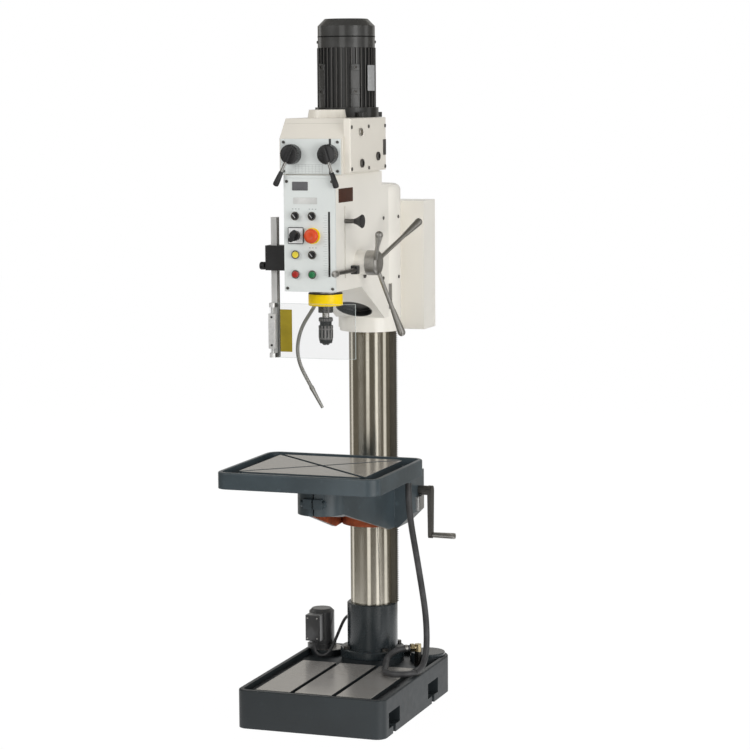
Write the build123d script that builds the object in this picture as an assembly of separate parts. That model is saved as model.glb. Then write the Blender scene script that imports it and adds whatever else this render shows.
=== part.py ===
from build123d import *
import math
import os

os.makedirs("parts", exist_ok=True)

# A gear-head pillar drill, in millimetres. The origin is on the floor, on the column's axis.
# +Z is up, the spindle stands in front of the column (-Y), and the crank is on the right (+X).

# Fits and clearances
RUN = 0.05
SEAT = 0.05
CLEAR = 0.3

# Base casting with its coolant tank
BASE_W = 440
BASE_FRONT = 533
BASE_REAR = 100
BASE_H = 110
BASE_FRONT_R = 30
BASE_REAR_R = 60
BASE_EDGE_R = 4
RIM_W = 14
GUTTER_Z = BASE_H - 18
PAD_Z = BASE_H - 3
PAD_W = 344
PAD_MARGIN = 18
PAD_REAR = 130
SLOT_PITCH = 124
SLOT_NECK_W = 14
SLOT_NECK_D = 10
SLOT_FOOT_W = 24
SLOT_FOOT_D = 10
DECK_T = 12
TANK_FLOOR_T = 10
TANK_WALL = 12
POCKET_D = 38
POCKET_W = 94
POCKET_FRONT = 440
POCKET_REAR = 94
POCKET_TOP = 66
FOOT_T = 22
FOOT_SLOT_W = 22
FOOT_SLOT_L = 34
LID_R = 51
LID_T = 10
LID_HOLE_R = 38

# Column, its foot and the rack beside it
COL_R = 64
COL_WALL = 12
FOOT_R = 75
FOOT_TOP = 270
FLANGE_R = 96
FLANGE_T = 24
FLANGE_CHAMFER = 3
BOLT_CIRCLE_R = 85
BOLT_R = 5
BOLT_HEAD_R = 9.8
BOLT_HEAD_T = 8
BOLT_DEPTH = 22
BOLT_COUNT = 4
RACK_W = 22
RACK_TIP = 80
LIFT_MODULE = 2

# Gear teeth, as shares of the module and of the tooth pitch
TOOTH_TIP = 0.8
TOOTH_ROOT = 1.1
TIP_HALF = 0.10
ROOT_HALF = 0.25

# Table
TABLE_W = 475
TABLE_L = 420
TABLE_Y = -415
TABLE_TOP = 741
TABLE_BOTTOM = 695
TABLE_CORNER = 38
TABLE_RIM_W = 12
TABLE_GUTTER_D = 22
TABLE_PAD_D = 1
TABLE_PAD_W = 370
TABLE_PAD_L = 326
TABLE_SLOT_W = 14
TABLE_SLOT_D = 9
TABLE_SLOT_FOOT_W = 22
TABLE_SLOT_FOOT_D = 7
STEM_R = 40
STEM_L = 86
DRAIN_INSET_X = 42.5
DRAIN_INSET_Y = 30
DRAIN_R = 9
DRAIN_BORE_R = 6
DRAIN_L = 22

# Table arm with its lift housing
ARM_COLLAR_R = 96
ARM_COLLAR_BOTTOM = 508
ARM_BOSS_R = 68
ARM_BOSS_BOTTOM = 606
ARM_ARCH_Y = -425
ARM_WALL = 12
ARM_COLLAR_WALL = 24
ARM_BOSS_WALL = 24
ARM_SPLIT = 8
CLAMP_LUG_X = 30
CLAMP_LUG_REAR = 130
CLAMP_LUG_H = 56
CLAMP_Z = 600
CLAMP_SCREW_R = 7
CLAMP_HEAD_R = 15
CLAMP_HEAD_L = 26
CLAMP_LEVER_L = 120
CLAMP_LEVER_R = 6
CLAMP_KNOB_R = 12
HOUSING_RIGHT = 146
HOUSING_FRONT = -60
HOUSING_REAR = 52
HOUSING_TOP = 668
HOUSING_CHAMFER = 42
GEAR_ROOM_X = 138
GEAR_ROOM_Y = 34
GEAR_ROOM_H = 38
LIFT_Z = 611
LIFT_TEETH = 16
LIFT_GEAR_W = 18
LIFT_SHAFT_R = 8
BEVEL_Y = 6
BEVEL_WHEEL_TEETH = 24
BEVEL_PINION_TEETH = 12
BEVEL_INNER = 0.8
BEVEL_GAP = 0.8
CRANK_SHAFT_R = 9
CRANK_COLLAR_R = 14
CRANK_X = 176
CRANK_T = 12
CRANK_L = 132
CRANK_HUB_R = 15
CRANK_END_R = 10
CRANK_PIN_R = 5
CRANK_GRIP_R = 9
CRANK_GRIP_L = 70
BOSS_BOLT_Z = 642
BOSS_BOLT_Y = -482
BOSS_BOLT_R = 6
BOSS_BOLT_HEAD_R = 10
BOSS_BOLT_HEAD_T = 8
BOSS_LUG_X = 28
BOSS_LUG_GAP = 4

# Head casting
HEAD_W = 150
HEAD_FRONT = -484
HEAD_BOTTOM = 1233
HEAD_H = 319
HEAD_TOP = HEAD_BOTTOM + HEAD_H
SHOULDER_Z = HEAD_TOP - 40
COL_TOP = SHOULDER_Z - 20
SHOULDER_Y = -105
SLOPE_FRONT = -284
SLOPE_REAR = -88
SLOPE_LOW = HEAD_BOTTOM - 106
BARREL_R = 90
BARREL_BOTTOM = HEAD_BOTTOM - 150
BARREL_FILLET = 20
HEAD_PAD_W = 90
HEAD_PAD_Y = 94
HEAD_PAD_BOTTOM = HEAD_BOTTOM - 133
HEAD_PAD_TOP = HEAD_BOTTOM + 207
HOLLOW_W = 120
HOLLOW_FRONT = -285
HOLLOW_REAR = -190
HOLLOW_BOTTOM = HEAD_BOTTOM + 97
LAMP_Y = -140
LAMP_R = 50
LAMP_RECESS = 24
LAMP_T = 10
CLAMP_RECESS_ANGLE = -35
CLAMP_RECESS_W = 30
CLAMP_RECESS_D = 5
CLAMP_RECESS_BOTTOM = HEAD_BOTTOM - 86
CLAMP_RECESS_TOP = HEAD_BOTTOM - 8
SCREW_R = 5
SCREW_T = 2

# Quill, spindle and chuck
SPINDLE_Y = -371
QUILL_R = 40
QUILL_BORE_R = 22
QUILL_BOTTOM = HEAD_BOTTOM - 47
QUILL_TOP = HEAD_BOTTOM + 245
QUILL_COLLAR_R = 48
QUILL_COLLAR_TOP = HEAD_BOTTOM - 11
QUILL_TRAVEL = 120
SPINDLE_R = 15
SPINDLE_TOP = HEAD_TOP + 134
NOSE_R = 21
NOSE_BOTTOM = QUILL_BOTTOM - 20
NECK_R = 10
BEARING_H = 20
BEARING_INSET = 10
CHUCK_TOP = QUILL_BOTTOM - 34
CHUCK_BODY_R = 20
CHUCK_RING_H = 11
CHUCK_WAIST_R = 16.5
CHUCK_SLEEVE_R = 20.5
CHUCK_SLEEVE_TOP = CHUCK_TOP - 22
CHUCK_SLEEVE_BOTTOM = CHUCK_TOP - 72
CHUCK_MOUTH_R = 16
CHUCK_MOUTH_H = 16
CHUCK_TAPER_D = 20
JAW_BORE_R = 5
JAW_R = 12.5
JAW_BOTTOM = CHUCK_TOP - 77
JAW_TOP = CHUCK_TOP - 44
JAW_GAP = 4
JAW_NOSE_R = 8
JAW_COUNT = 3

# Feed drive
FEED_MODULE = 2
FEED_TEETH = 22
FEED_Z = HEAD_BOTTOM + 70
FEED_SHAFT_R = 14
FEED_GEAR_W = 28
FEED_SHAFT_LEFT = -62
FEED_BOSS_R = 34
FEED_BOSS_T = 30
HUB_R = 35
HUB_L = 36
HUB_LEVER_X = 20
LEVER_COUNT = 3
LEVER_FIRST_DEG = -87
LEVER_RADIAL = 205
LEVER_OUT = 78
LEVER_ROOT = 18
LEVER_ROD_R = 6
LEVER_GRIP_L = 78
LEVER_GRIP_R = 11
LEVER_GRIP_NECK_R = 7

# Depth stop and feed clutch lever on the head's right side
STOP_Y = -413
STOP_Z = HEAD_BOTTOM + 191
STOP_SLOT_W = 9
STOP_SLOT_D = 20
STOP_SLOT_BOTTOM = HEAD_BOTTOM + 34
STOP_SLOT_TOP = HEAD_BOTTOM + 232
STOP_BLOCK_H = 20
STOP_ROD_R = 5
STOP_ROD_L = 23
STOP_KNOB_L = 30
STOP_KNOB_R = 16
STOP_KNOB_NECK_R = 8
CLUTCH_Y = -358
CLUTCH_Z = HEAD_BOTTOM + 53
CLUTCH_HUB_R = 12
CLUTCH_HUB_L = 18
CLUTCH_LEVER_L = 168
CLUTCH_LEVER_R = 4
CLUTCH_BALL_R = 8

# Front panel and its controls
PANEL_T = 6
PANEL_TOP = HEAD_TOP - 8
SCALE_SLOT_X = 57
SCALE_SLOT_W = 6
SCALE_SLOT_BOTTOM = HEAD_BOTTOM + 42
SCALE_SLOT_TOP = HEAD_BOTTOM + 220
SCALE_SLOT_D = 4
CONTROL_LEFT = -40
CONTROL_RIGHT = 9
ROW_SELECT = HEAD_BOTTOM + 208
ROW_MAIN = HEAD_BOTTOM + 154
ROW_LAMP = HEAD_BOTTOM + 102
ROW_PUSH = HEAD_BOTTOM + 48
BEZEL_R = 12
BEZEL_T = 7
CAP_R = 9
CAP_L = 9
CAP_TRAVEL = 4
KNOB_RIDGE_W = 5
KNOB_RIDGE_T = 7
ISOLATOR_W = 46
ISOLATOR_T = 3
ISOLATOR_R = 14
ISOLATOR_L = 14
ESTOP_RING_R = 22
ESTOP_RING_T = 4
ESTOP_CAP_R = 20
ESTOP_CAP_T = 14
ESTOP_STEM_R = 10
ESTOP_TRAVEL = 5
PANEL_SCREW_R = 4
PANEL_SCREW_INSET = 9

# Gearbox
BOX_W = 184
BOX_FRONT = -474
BOX_H = 140
BOX_TOP = HEAD_TOP + BOX_H
BOX_WALL = 12
BEVEL_Z = HEAD_TOP + 100
BEVEL_BACK = -427
COVER_T = 14
BOX_REAR_R = 92
SIDE_COVER_T = 20
SIDE_COVER_FRONT = -466
SIDE_COVER_REAR = -172
SIDE_COVER_BOTTOM = HEAD_TOP + 6
SIDE_COVER_INSET = 10
SPEED_PLATE_T = 4
SPEED_PLATE_W = 176
SPEED_PLATE_BOTTOM = HEAD_TOP + 2
SPEED_PLATE_TOP = HEAD_TOP + 99
SPEED_X = 54
SPEED_Z = HEAD_TOP + 57
SPEED_KNOB_R = 28
SPEED_KNOB_T = 32
SPEED_LEVER_L = 96
SPEED_LEVER_R = 5
SPEED_GRIP_R = 8.5
SPEED_GRIP_L = 44
SPEED_LEFT_DEG = 26
SPEED_RIGHT_DEG = -18
CAP_BASE_R = 54
CAP_TOP_R = 50
CAP_H = 23
CAP_BACK = 24
GLASS_R = 11
PLUG_R = 12
PLUG_T = 6
DRIVE_MODULE = 4
MOTOR_TEETH = 14
LAY_WHEEL_TEETH = 28
LAY_PINION_TEETH = 17
SPINDLE_TEETH = 33
DRIVE_GEAR_W = 20
LOW_GEAR_Z = HEAD_TOP + 24
HIGH_GEAR_Z = HEAD_TOP + 66
LAY_SHAFT_R = 12
LAY_BEARING_D = 8
DRIVE_SLEEVE_R = 28
DRIVE_SLEEVE_TOP = HEAD_TOP + 58
PINION_ROOM = 3
SPINDLE_ROOM = 7

# Motor
MOTOR_R = 78
FIN_R = 83
FIN_COUNT = 36
FIN_W = 3
MOTOR_FLANGE_T = 28
MOTOR_FLANGE_R = 90
MOTOR_LUG_R = 15
MOTOR_LUG_CIRCLE = 94
MOTOR_LUG_COUNT = 4
MOTOR_H = 199
MOTOR_TOP = BOX_TOP + COVER_T + MOTOR_H
MOTOR_END_T = 16
STATOR_BORE_R = 52
ROTOR_R = 50
ROTOR_END_GAP = 10
MOTOR_SHAFT_R = 12
COWL_WALL = 3
COWL_TOP = MOTOR_TOP + 77
COWL_OVERLAP = 4
COWL_CHAMFER = 20
COWL_SLOTS = 18
COWL_SLOT_W = 5
COWL_SLOT_INNER = 22
COWL_SLOT_OUTER = 56
FAN_R = 66
FAN_T = 30
FAN_BLADES = 8
FAN_BLADE_T = 4

# Electrical cabinet
CABINET_W = 270
CABINET_REAR = 200
CABINET_BOTTOM = HEAD_BOTTOM - 155
CABINET_TOP = HEAD_BOTTOM + 225
CABINET_WALL = 3
DOOR_T = 18
DOOR_LATCH_R = 9
DOOR_LATCH_T = 4
KNUCKLE_R = 5
KNUCKLE_L = 26
KNUCKLE_INSET = 40
KNUCKLE_LEAF = 8
KNUCKLE_PIN_R = 2.5

# Guard
GUARD_X = -126
GUARD_Y = -430
POST_W = 18
POST_BOTTOM = HEAD_BOTTOM - 190
POST_TOP = HEAD_BOTTOM + 201
POST_GROOVE_W = 6
POST_GROOVE_D = 4
BRACKET_BOTTOM = HEAD_BOTTOM + 54
BRACKET_TOP = HEAD_BOTTOM + 123
BRACKET_LEFT = 12
BRACKET_DEPTH = 44
GUARD_KNOB_R = 11
GUARD_KNOB_L = 16
HINGE_OUT = 26
HINGE_PIN_R = 4
HINGE_SLEEVE_R = 8
HINGE_LUG_T = 12
SHIELD_T = 4
SHIELD_BEND = 70
SHIELD_RIGHT = 114
SHIELD_REAR = -440
SHIELD_TOP = HEAD_BOTTOM - 36
SHIELD_BOTTOM = HEAD_BOTTOM - 188

# Coolant pump, cords and gooseneck
PUMP_SHIFT = 17
PUMP_R = 38
PUMP_FOOT_W = 80
PUMP_FOOT_T = 14
PUMP_TOP = 230
PUMP_CAP_H = 9
PUMP_TUBE_R = 22
PUMP_TUBE_BOTTOM = 20
PUMP_BOX_LEFT = 3
PUMP_BOX_W = 46
PUMP_BOX_D = 32
PUMP_BOX_H = 78
PUMP_BOX_Z = 142
PUMP_EXIT_IN = 12
GLAND_R = 8
GLAND_L = 8
CABLE_R = 4.5
HOSE_R = 9
FITTING_X = 152
FITTING_Y = -28
FITTING_Z = 146
FITTING_R = 10
NECK_TUBE_R = 5.5
NOZZLE_L = 68
NOZZLE_TIP_R = 4
NOZZLE_R = 6.5
CABLE_ENTRY_Z = 206
CABLE_ENTRY_DEG = 120
CABLE_LEAD = 16
FITTING_NUT = 1.3
FITTING_BARB = 0.75
FITTING_REACH = 26
FITTING_WAY = (-0.8, -0.6, 0)
HOSE_LEAD = 26
HOSE_CUT_COUNTS = (3, 8)
NECK_X = -36
NECK_Y = -322

# Routes of the cords, point by point
CABLE_ROUTE = [(-180, -18, 118), (-173.5, -19.5, 105.5), (-161.5, -21, 97.5), (-147, -20.5, 98),
               (-135.5, -16, 106), (-128.5, -8.5, 119.5), (-123.5, 1, 134.5), (-119.5, 12, 149.5),
               (-116.5, 24, 164), (-114, 36.5, 177.5), (-112, 49.5, 189), (-110, 63, 197), (-106.5, 77, 202),
               (-100, 89.5, 204.5), (-89, 98.5, 205.5), (-75, 101.5, 206), (-61, 96.5, 206)]
HOSE_ROUTE = [(195, -235, 634), (195.5, -229, 590), (198.5, -214, 530), (203, -197, 470),
              (207, -180, 410), (211, -164, 350), (215, -150, 290), (217, -143, 236), (217.5, -143.5, 184),
              (217, -152, 153), (216, -174, 130), (213, -207, 121), (206.5, -236, 120),
              (188, -254.5, 119.5), (163, -261, 119), (138, -254.5, 118.5), (119.5, -236, 118),
              (112, -211, 118), (104, -181, 118), (95, -152, 119), (86.5, -125, 122.5),
              (83.5, -98.5, 130), (93, -75, 139)]
NECK_ROUTE = [(-36, -322, 1211), (-46, -328, 1184), (-62, -335, 1157), (-77, -342.5, 1131),
              (-86, -350, 1105), (-89.5, -357, 1079), (-89.5, -362, 1058), (-86, -366, 1038),
              (-79.5, -369, 1018), (-69, -371.5, 997), (-57, -373, 977), (-44.5, -374, 956)]

# Side fittings as (radius, y, z) and set screws as (y, z)
OIL_PLACES = [(GLASS_R, -388, HEAD_TOP + 116), (PLUG_R, -378, HEAD_TOP + 30), (PLUG_R, -245, HEAD_TOP + 46)]
HEAD_SCREW_PLACES = [(-94, FEED_Z + 113), (-6, FEED_Z + 113), (-97, FEED_Z - 60), (-4, FEED_Z - 62)]


def block(x0, x1, y0, y1, z0, z1):
    """A box between two corners."""
    return Pos((x0 + x1) / 2, (y0 + y1) / 2, (z0 + z1) / 2) * Box(x1 - x0, y1 - y0, z1 - z0)


def rod_x(r, x0, x1, y, z):
    """A round bar along X."""
    return Pos((x0 + x1) / 2, y, z) * Rot(0, 90, 0) * Cylinder(r, x1 - x0)


def rod_y(r, x, y0, y1, z):
    """A round bar along Y."""
    return Pos(x, (y0 + y1) / 2, z) * Rot(90, 0, 0) * Cylinder(r, y1 - y0)


def rod_z(r, x, y, z0, z1):
    """A round bar along Z."""
    return Pos(x, y, (z0 + z1) / 2) * Cylinder(r, z1 - z0)


def cone_on(plane, r0, r1, h0, h1):
    """A round taper on a plane's normal, from height h0 to h1."""
    return plane * Pos(0, 0, (h0 + h1) / 2) * Cone(r0, r1, h1 - h0)


def rod_on(plane, r, h0, h1):
    """A round bar on a plane's normal, from height h0 to h1."""
    return plane * Pos(0, 0, (h0 + h1) / 2) * Cylinder(r, h1 - h0)


def slab_x(outline, x0, x1):
    """An outline of (y, z) points carried along X."""
    face = make_face(Polyline([(x0, y, z) for y, z in outline], close=True))
    return extrude(face, x1 - x0, dir=(1, 0, 0))


def slab_z(outline, z0, z1):
    """An outline of (x, y) points carried along Z."""
    face = make_face(Polyline([(x, y, z0) for x, y in outline], close=True))
    return extrude(face, z1 - z0, dir=(0, 0, 1))


def hex_bar(r, height):
    """A hexagonal bar standing on the XY plane."""
    return extrude(RegularPolygon(r, 6), height)


def gear_points(teeth, module, phase_deg):
    """Corners of a spur gear whose teeth are thin enough to run with backlash."""
    pitch_r = teeth * module / 2
    step = 2 * math.pi / teeth
    tip = pitch_r + TOOTH_TIP * module
    root = pitch_r - TOOTH_ROOT * module
    corners = ((root, -ROOT_HALF), (tip, -TIP_HALF), (tip, TIP_HALF), (root, ROOT_HALF))
    points = []
    for k in range(teeth):
        for r, share in corners:
            angle = math.radians(phase_deg) + (k + share) * step
            points.append((r * math.cos(angle), r * math.sin(angle)))
    return points


def gear_on(plane, teeth, module, phase_deg, width):
    """A spur gear on a plane, centred on its origin and growing along its normal."""
    outline = make_face(Polyline(gear_points(teeth, module, phase_deg), close=True))
    return plane * extrude(outline, width)


def bevel_on(plane, teeth, module, phase_deg, apex_distance):
    """A bevel gear whose large end lies on the plane and whose apex is apex_distance behind it."""
    outer = gear_points(teeth, module, phase_deg)
    inner = [(x * BEVEL_INNER, y * BEVEL_INNER) for x, y in outer]
    depth = apex_distance * (1 - BEVEL_INNER)
    large = make_face(Polyline([(x, y, 0) for x, y in outer], close=True))
    small = make_face(Polyline([(x, y, -depth) for x, y in inner], close=True))
    return plane * loft([small, large], ruled=True)


def cord_path(points):
    """Straight runs joined by tangent arcs, each as large as its two runs allow."""
    corners = [Vector(*p) for p in points]
    radii = []
    for before, here, after in zip(corners, corners[1:], corners[2:]):
        run_in = here - before
        run_out = after - here
        half_turn = math.radians(run_in.get_angle(run_out)) / 2
        radii.append(0.45 * min(run_in.length, run_out.length) / math.tan(half_turn))
    return FilletPolyline(*points, radius=radii), radii


def cord(name, points, r):
    """A round cord along its route; prints its bends and checks its volume."""
    path, radii = cord_path(points)
    start = Plane(path @ 0, z_dir=path % 0)
    tube = sweep(start * Circle(r), path=path)
    expected = math.pi * r * r * path.length
    print(name, "length", round(path.length), "least radius", round(min(radii)),
          "volume share", round(tube.volume / expected, 3))
    return tube


def base():
    """Cast base: rim, gutter, pads with T-slots, column boss, corner bosses and hollow tank."""
    half = BASE_W / 2
    plan = Pos(0, (BASE_REAR - BASE_FRONT) / 2) * Rectangle(BASE_W, BASE_FRONT + BASE_REAR)
    plan = fillet(plan.vertices().sort_by(Axis.Y)[:2], BASE_FRONT_R)
    plan = fillet(plan.vertices().sort_by(Axis.Y)[-2:], BASE_REAR_R)
    body = extrude(plan, BASE_H)
    body = fillet(body.edges().group_by(Axis.Z)[-1], BASE_EDGE_R)
    body -= Pos(0, 0, GUTTER_Z) * extrude(offset(plan, -RIM_W), BASE_H)
    body += block(-PAD_W / 2, PAD_W / 2, RIM_W + PAD_MARGIN - BASE_FRONT, -PAD_REAR, GUTTER_Z, PAD_Z)
    body += rod_z(FLANGE_R - FLANGE_CHAMFER, 0, 0, GUTTER_Z, BASE_H)
    for side in (-1, 1):
        x, y = corner_boss(side)
        body += rod_z(BASE_REAR_R - RIM_W / 2, x, y, GUTTER_Z, BASE_H)
    slot_low = PAD_Z - SLOT_NECK_D - SLOT_FOOT_D
    tank_top = slot_low - DECK_T
    tank_x = half - POCKET_D - TANK_WALL
    tank = block(-tank_x, tank_x, 2 * TANK_WALL - BASE_FRONT, BASE_REAR - 2 * TANK_WALL,
                 TANK_FLOOR_T, tank_top)
    body -= tank - rod_z(FLANGE_R - FLANGE_CHAMFER, 0, 0, 0, BASE_H)
    x, y = corner_boss(1)
    body -= rod_z(LID_HOLE_R, x, y, TANK_FLOOR_T, BASE_H)
    x, y = pump_place()
    body -= rod_z(PUMP_TUBE_R + CLEAR, x, y, TANK_FLOOR_T, BASE_H)
    for side in (-1, 1):
        x = side * SLOT_PITCH / 2
        for width, low, high in ((SLOT_NECK_W, PAD_Z - SLOT_NECK_D, PAD_Z),
                                 (SLOT_FOOT_W, slot_low, PAD_Z - SLOT_NECK_D)):
            body -= block(x - width / 2, x + width / 2, RIM_W - BASE_FRONT, RIM_W - PAD_REAR, low, high)
        for y in (-POCKET_FRONT, -POCKET_REAR):
            reach = half - POCKET_D
            body -= block(min(side * reach, side * half), max(side * reach, side * half),
                          y - POCKET_W / 2, y + POCKET_W / 2, FOOT_T, POCKET_TOP)
            slot_end = side * (half - FOOT_SLOT_L + FOOT_SLOT_W / 2)
            body -= rod_z(FOOT_SLOT_W / 2, slot_end, y, 0, FOOT_T)
            body -= block(min(slot_end, side * half), max(slot_end, side * half),
                          y - FOOT_SLOT_W / 2, y + FOOT_SLOT_W / 2, 0, FOOT_T)
    for x, y in foot_bolt_places():
        body -= rod_z(BOLT_R + SEAT, x, y, BASE_H - BOLT_DEPTH, BASE_H)
    return body


def corner_boss(side):
    """Centre of a rear corner boss."""
    return side * (BASE_W / 2 - BASE_REAR_R), BASE_REAR - BASE_REAR_R


def pump_place():
    """Centre of the pump, towards the outside of the left corner boss."""
    x, y = corner_boss(-1)
    return x - PUMP_SHIFT, y


def foot_bolt_places():
    """Centres of the bolts round the column foot."""
    angles = [math.radians(360 * (k + 0.5) / BOLT_COUNT) for k in range(BOLT_COUNT)]
    return [(BOLT_CIRCLE_R * math.cos(a), BOLT_CIRCLE_R * math.sin(a)) for a in angles]


def tank_lid():
    """Round lid over the tank's filler hole, with a spigot."""
    x, y = corner_boss(1)
    lid = rod_z(LID_R, x, y, BASE_H, BASE_H + LID_T)
    lid = fillet(lid.edges().group_by(Axis.Z)[-1], LID_T / 4)
    return lid + rod_z(LID_HOLE_R - CLEAR, x, y, BASE_H - LID_T, BASE_H)


def column_foot():
    """Sleeve that holds the column, with its bolted flange."""
    foot = rod_z(FLANGE_R, 0, 0, BASE_H, BASE_H + FLANGE_T)
    foot = chamfer(foot.edges().group_by(Axis.Z)[-1], FLANGE_CHAMFER)
    sleeve = rod_z(FOOT_R, 0, 0, BASE_H, FOOT_TOP)
    foot += chamfer(sleeve.edges().group_by(Axis.Z)[-1], FLANGE_CHAMFER)
    foot -= rod_z(COL_R + SEAT, 0, 0, BASE_H, FOOT_TOP)
    for x, y in foot_bolt_places():
        foot -= rod_z(BOLT_R + SEAT, x, y, BASE_H, BASE_H + FLANGE_T)
    return foot


def column():
    """Ground steel tube from the foot up into the head."""
    return rod_z(COL_R, 0, 0, BASE_H, COL_TOP) - rod_z(COL_R - COL_WALL, 0, 0, BASE_H, COL_TOP)


def rack_pitch_x():
    """Distance of the rack's pitch line from the column's axis."""
    return RACK_TIP - TOOTH_TIP * LIFT_MODULE


def lift_axis_x():
    """Distance of the lift pinion's axis from the column's axis."""
    return rack_pitch_x() + LIFT_TEETH * LIFT_MODULE / 2


def rack():
    """Toothed bar that stands on the column foot and carries the lift pinion, with a gap at its height."""
    low = FOOT_TOP + CLEAR
    high = BARREL_BOTTOM - CLEAR
    back = COL_R / 2
    pitch = math.pi * LIFT_MODULE
    root = rack_pitch_x() - TOOTH_ROOT * LIFT_MODULE
    corners = ((root, -ROOT_HALF), (RACK_TIP, -TIP_HALF), (RACK_TIP, TIP_HALF), (root, ROOT_HALF))
    outline = [(back, low), (root, low)]
    for k in range(math.ceil((low - LIFT_Z) / pitch), math.floor((high - LIFT_Z) / pitch)):
        outline += [(x, LIFT_Z + (k + 0.5 + share) * pitch) for x, share in corners]
    outline += [(root, high), (back, high)]
    face = make_face(Polyline([(x, -RACK_W / 2, z) for x, z in outline], close=True))
    bar = extrude(face, RACK_W, dir=(0, 1, 0))
    return bar - rod_z(COL_R + CLEAR, 0, 0, low, high)


def arm():
    """Cast table arm: split collar, hollow web, boss for the table and lift housing."""
    top = TABLE_BOTTOM - CLEAR
    low = ARM_COLLAR_BOTTOM
    plan = make_hull(Circle(ARM_COLLAR_R).edges() + (Pos(0, TABLE_Y) * Circle(ARM_BOSS_R)).edges())
    rear = CLAMP_LUG_REAR
    front = TABLE_Y - ARM_BOSS_R
    side = slab_x([(front, ARM_BOSS_BOTTOM), (ARM_ARCH_Y, ARM_BOSS_BOTTOM), (-ARM_COLLAR_R, low), (rear, low),
                   (rear, top), (front, top)], -HOUSING_RIGHT, HOUSING_RIGHT)
    body = Pos(0, 0, low) * extrude(plan, top - low)
    hollow_plan = make_hull(Circle(ARM_COLLAR_R - ARM_WALL).edges()
                            + (Pos(0, TABLE_Y) * Circle(ARM_BOSS_R - ARM_WALL)).edges())
    hollow = Pos(0, 0, low) * extrude(hollow_plan, top - ARM_WALL - low)
    hollow -= rod_z(COL_R + ARM_COLLAR_WALL, 0, 0, low, top)
    hollow -= rod_z(STEM_R + ARM_BOSS_WALL, 0, TABLE_Y, low, top)
    body = (body - hollow) & side
    lug_low = CLAMP_Z - CLAMP_LUG_H / 2
    body += block(-CLAMP_LUG_X, CLAMP_LUG_X, COL_R, rear, lug_low, lug_low + CLAMP_LUG_H)
    body += housing_block()
    gear_x = COL_R + CLEAR
    body -= block(gear_x, GEAR_ROOM_X, -GEAR_ROOM_Y, GEAR_ROOM_Y, LIFT_Z - GEAR_ROOM_H, LIFT_Z + GEAR_ROOM_H)
    body -= block(0, RACK_TIP + CLEAR, -RACK_W / 2 - CLEAR, RACK_W / 2 + CLEAR, low, top)
    body -= rod_z(COL_R + CLEAR, 0, 0, low, top)
    body -= rod_z(STEM_R + RUN, 0, TABLE_Y, low, top)
    body -= block(-ARM_SPLIT / 2, ARM_SPLIT / 2, 0, rear, low, top)
    body -= rod_x(CLAMP_SCREW_R + RUN, -CLAMP_LUG_X, CLAMP_LUG_X, clamp_y(), CLAMP_Z)
    body -= rod_x(CRANK_SHAFT_R + RUN, GEAR_ROOM_X, HOUSING_RIGHT, BEVEL_Y, LIFT_Z)
    bearing = (HOUSING_REAR - GEAR_ROOM_Y) / 2
    body -= rod_y(LIFT_SHAFT_R + RUN, lift_axis_x(), -GEAR_ROOM_Y - bearing, GEAR_ROOM_Y + bearing, LIFT_Z)
    lug_front = BOSS_BOLT_Y - BOSS_BOLT_HEAD_R
    lug = block(-BOSS_LUG_X, BOSS_LUG_X, lug_front, TABLE_Y, BOSS_BOLT_Z - BOSS_LUG_X / 2,
                BOSS_BOLT_Z + BOSS_LUG_X / 2)
    lug -= rod_z(ARM_BOSS_R - ARM_WALL, 0, TABLE_Y, low, top)
    body += lug
    body -= block(-BOSS_LUG_GAP / 2, BOSS_LUG_GAP / 2, lug_front, TABLE_Y, ARM_BOSS_BOTTOM, top)
    body -= rod_x(BOSS_BOLT_R + SEAT, -BOSS_LUG_X, BOSS_LUG_X, BOSS_BOLT_Y, BOSS_BOLT_Z)
    return Compound(children=[body.solid(), table_clamp_bolt().solid()])


def housing_block():
    """Outside of the lift housing, with its lower right edge cut away."""
    low = ARM_COLLAR_BOTTOM
    outline = [(COL_R, low), (HOUSING_RIGHT - HOUSING_CHAMFER, low), (HOUSING_RIGHT, low + HOUSING_CHAMFER),
               (HOUSING_RIGHT, HOUSING_TOP), (COL_R, HOUSING_TOP)]
    face = make_face(Polyline([(x, HOUSING_FRONT, z) for x, z in outline], close=True))
    return extrude(face, HOUSING_REAR - HOUSING_FRONT, dir=(0, 1, 0))


def clamp_y():
    """Distance of the arm's clamp screw behind the column's axis."""
    return (ARM_COLLAR_R + CLAMP_LUG_REAR) / 2


def arm_clamp_lever():
    """Screw across the collar's split, with a head and a hand lever on its left end."""
    y = clamp_y()
    left = -CLAMP_LUG_X - CLEAR
    screw = rod_x(CLAMP_SCREW_R, left, CLAMP_LUG_X + CLAMP_SCREW_R, y, CLAMP_Z)
    screw += rod_x(CLAMP_HEAD_R, left - CLAMP_HEAD_L, left, y, CLAMP_Z)
    x = left - CLAMP_HEAD_L / 2
    screw += rod_z(CLAMP_LEVER_R, x, y, CLAMP_Z, CLAMP_Z + CLAMP_LEVER_L)
    return screw + Pos(x, y, CLAMP_Z + CLAMP_LEVER_L) * Sphere(CLAMP_KNOB_R)


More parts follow.
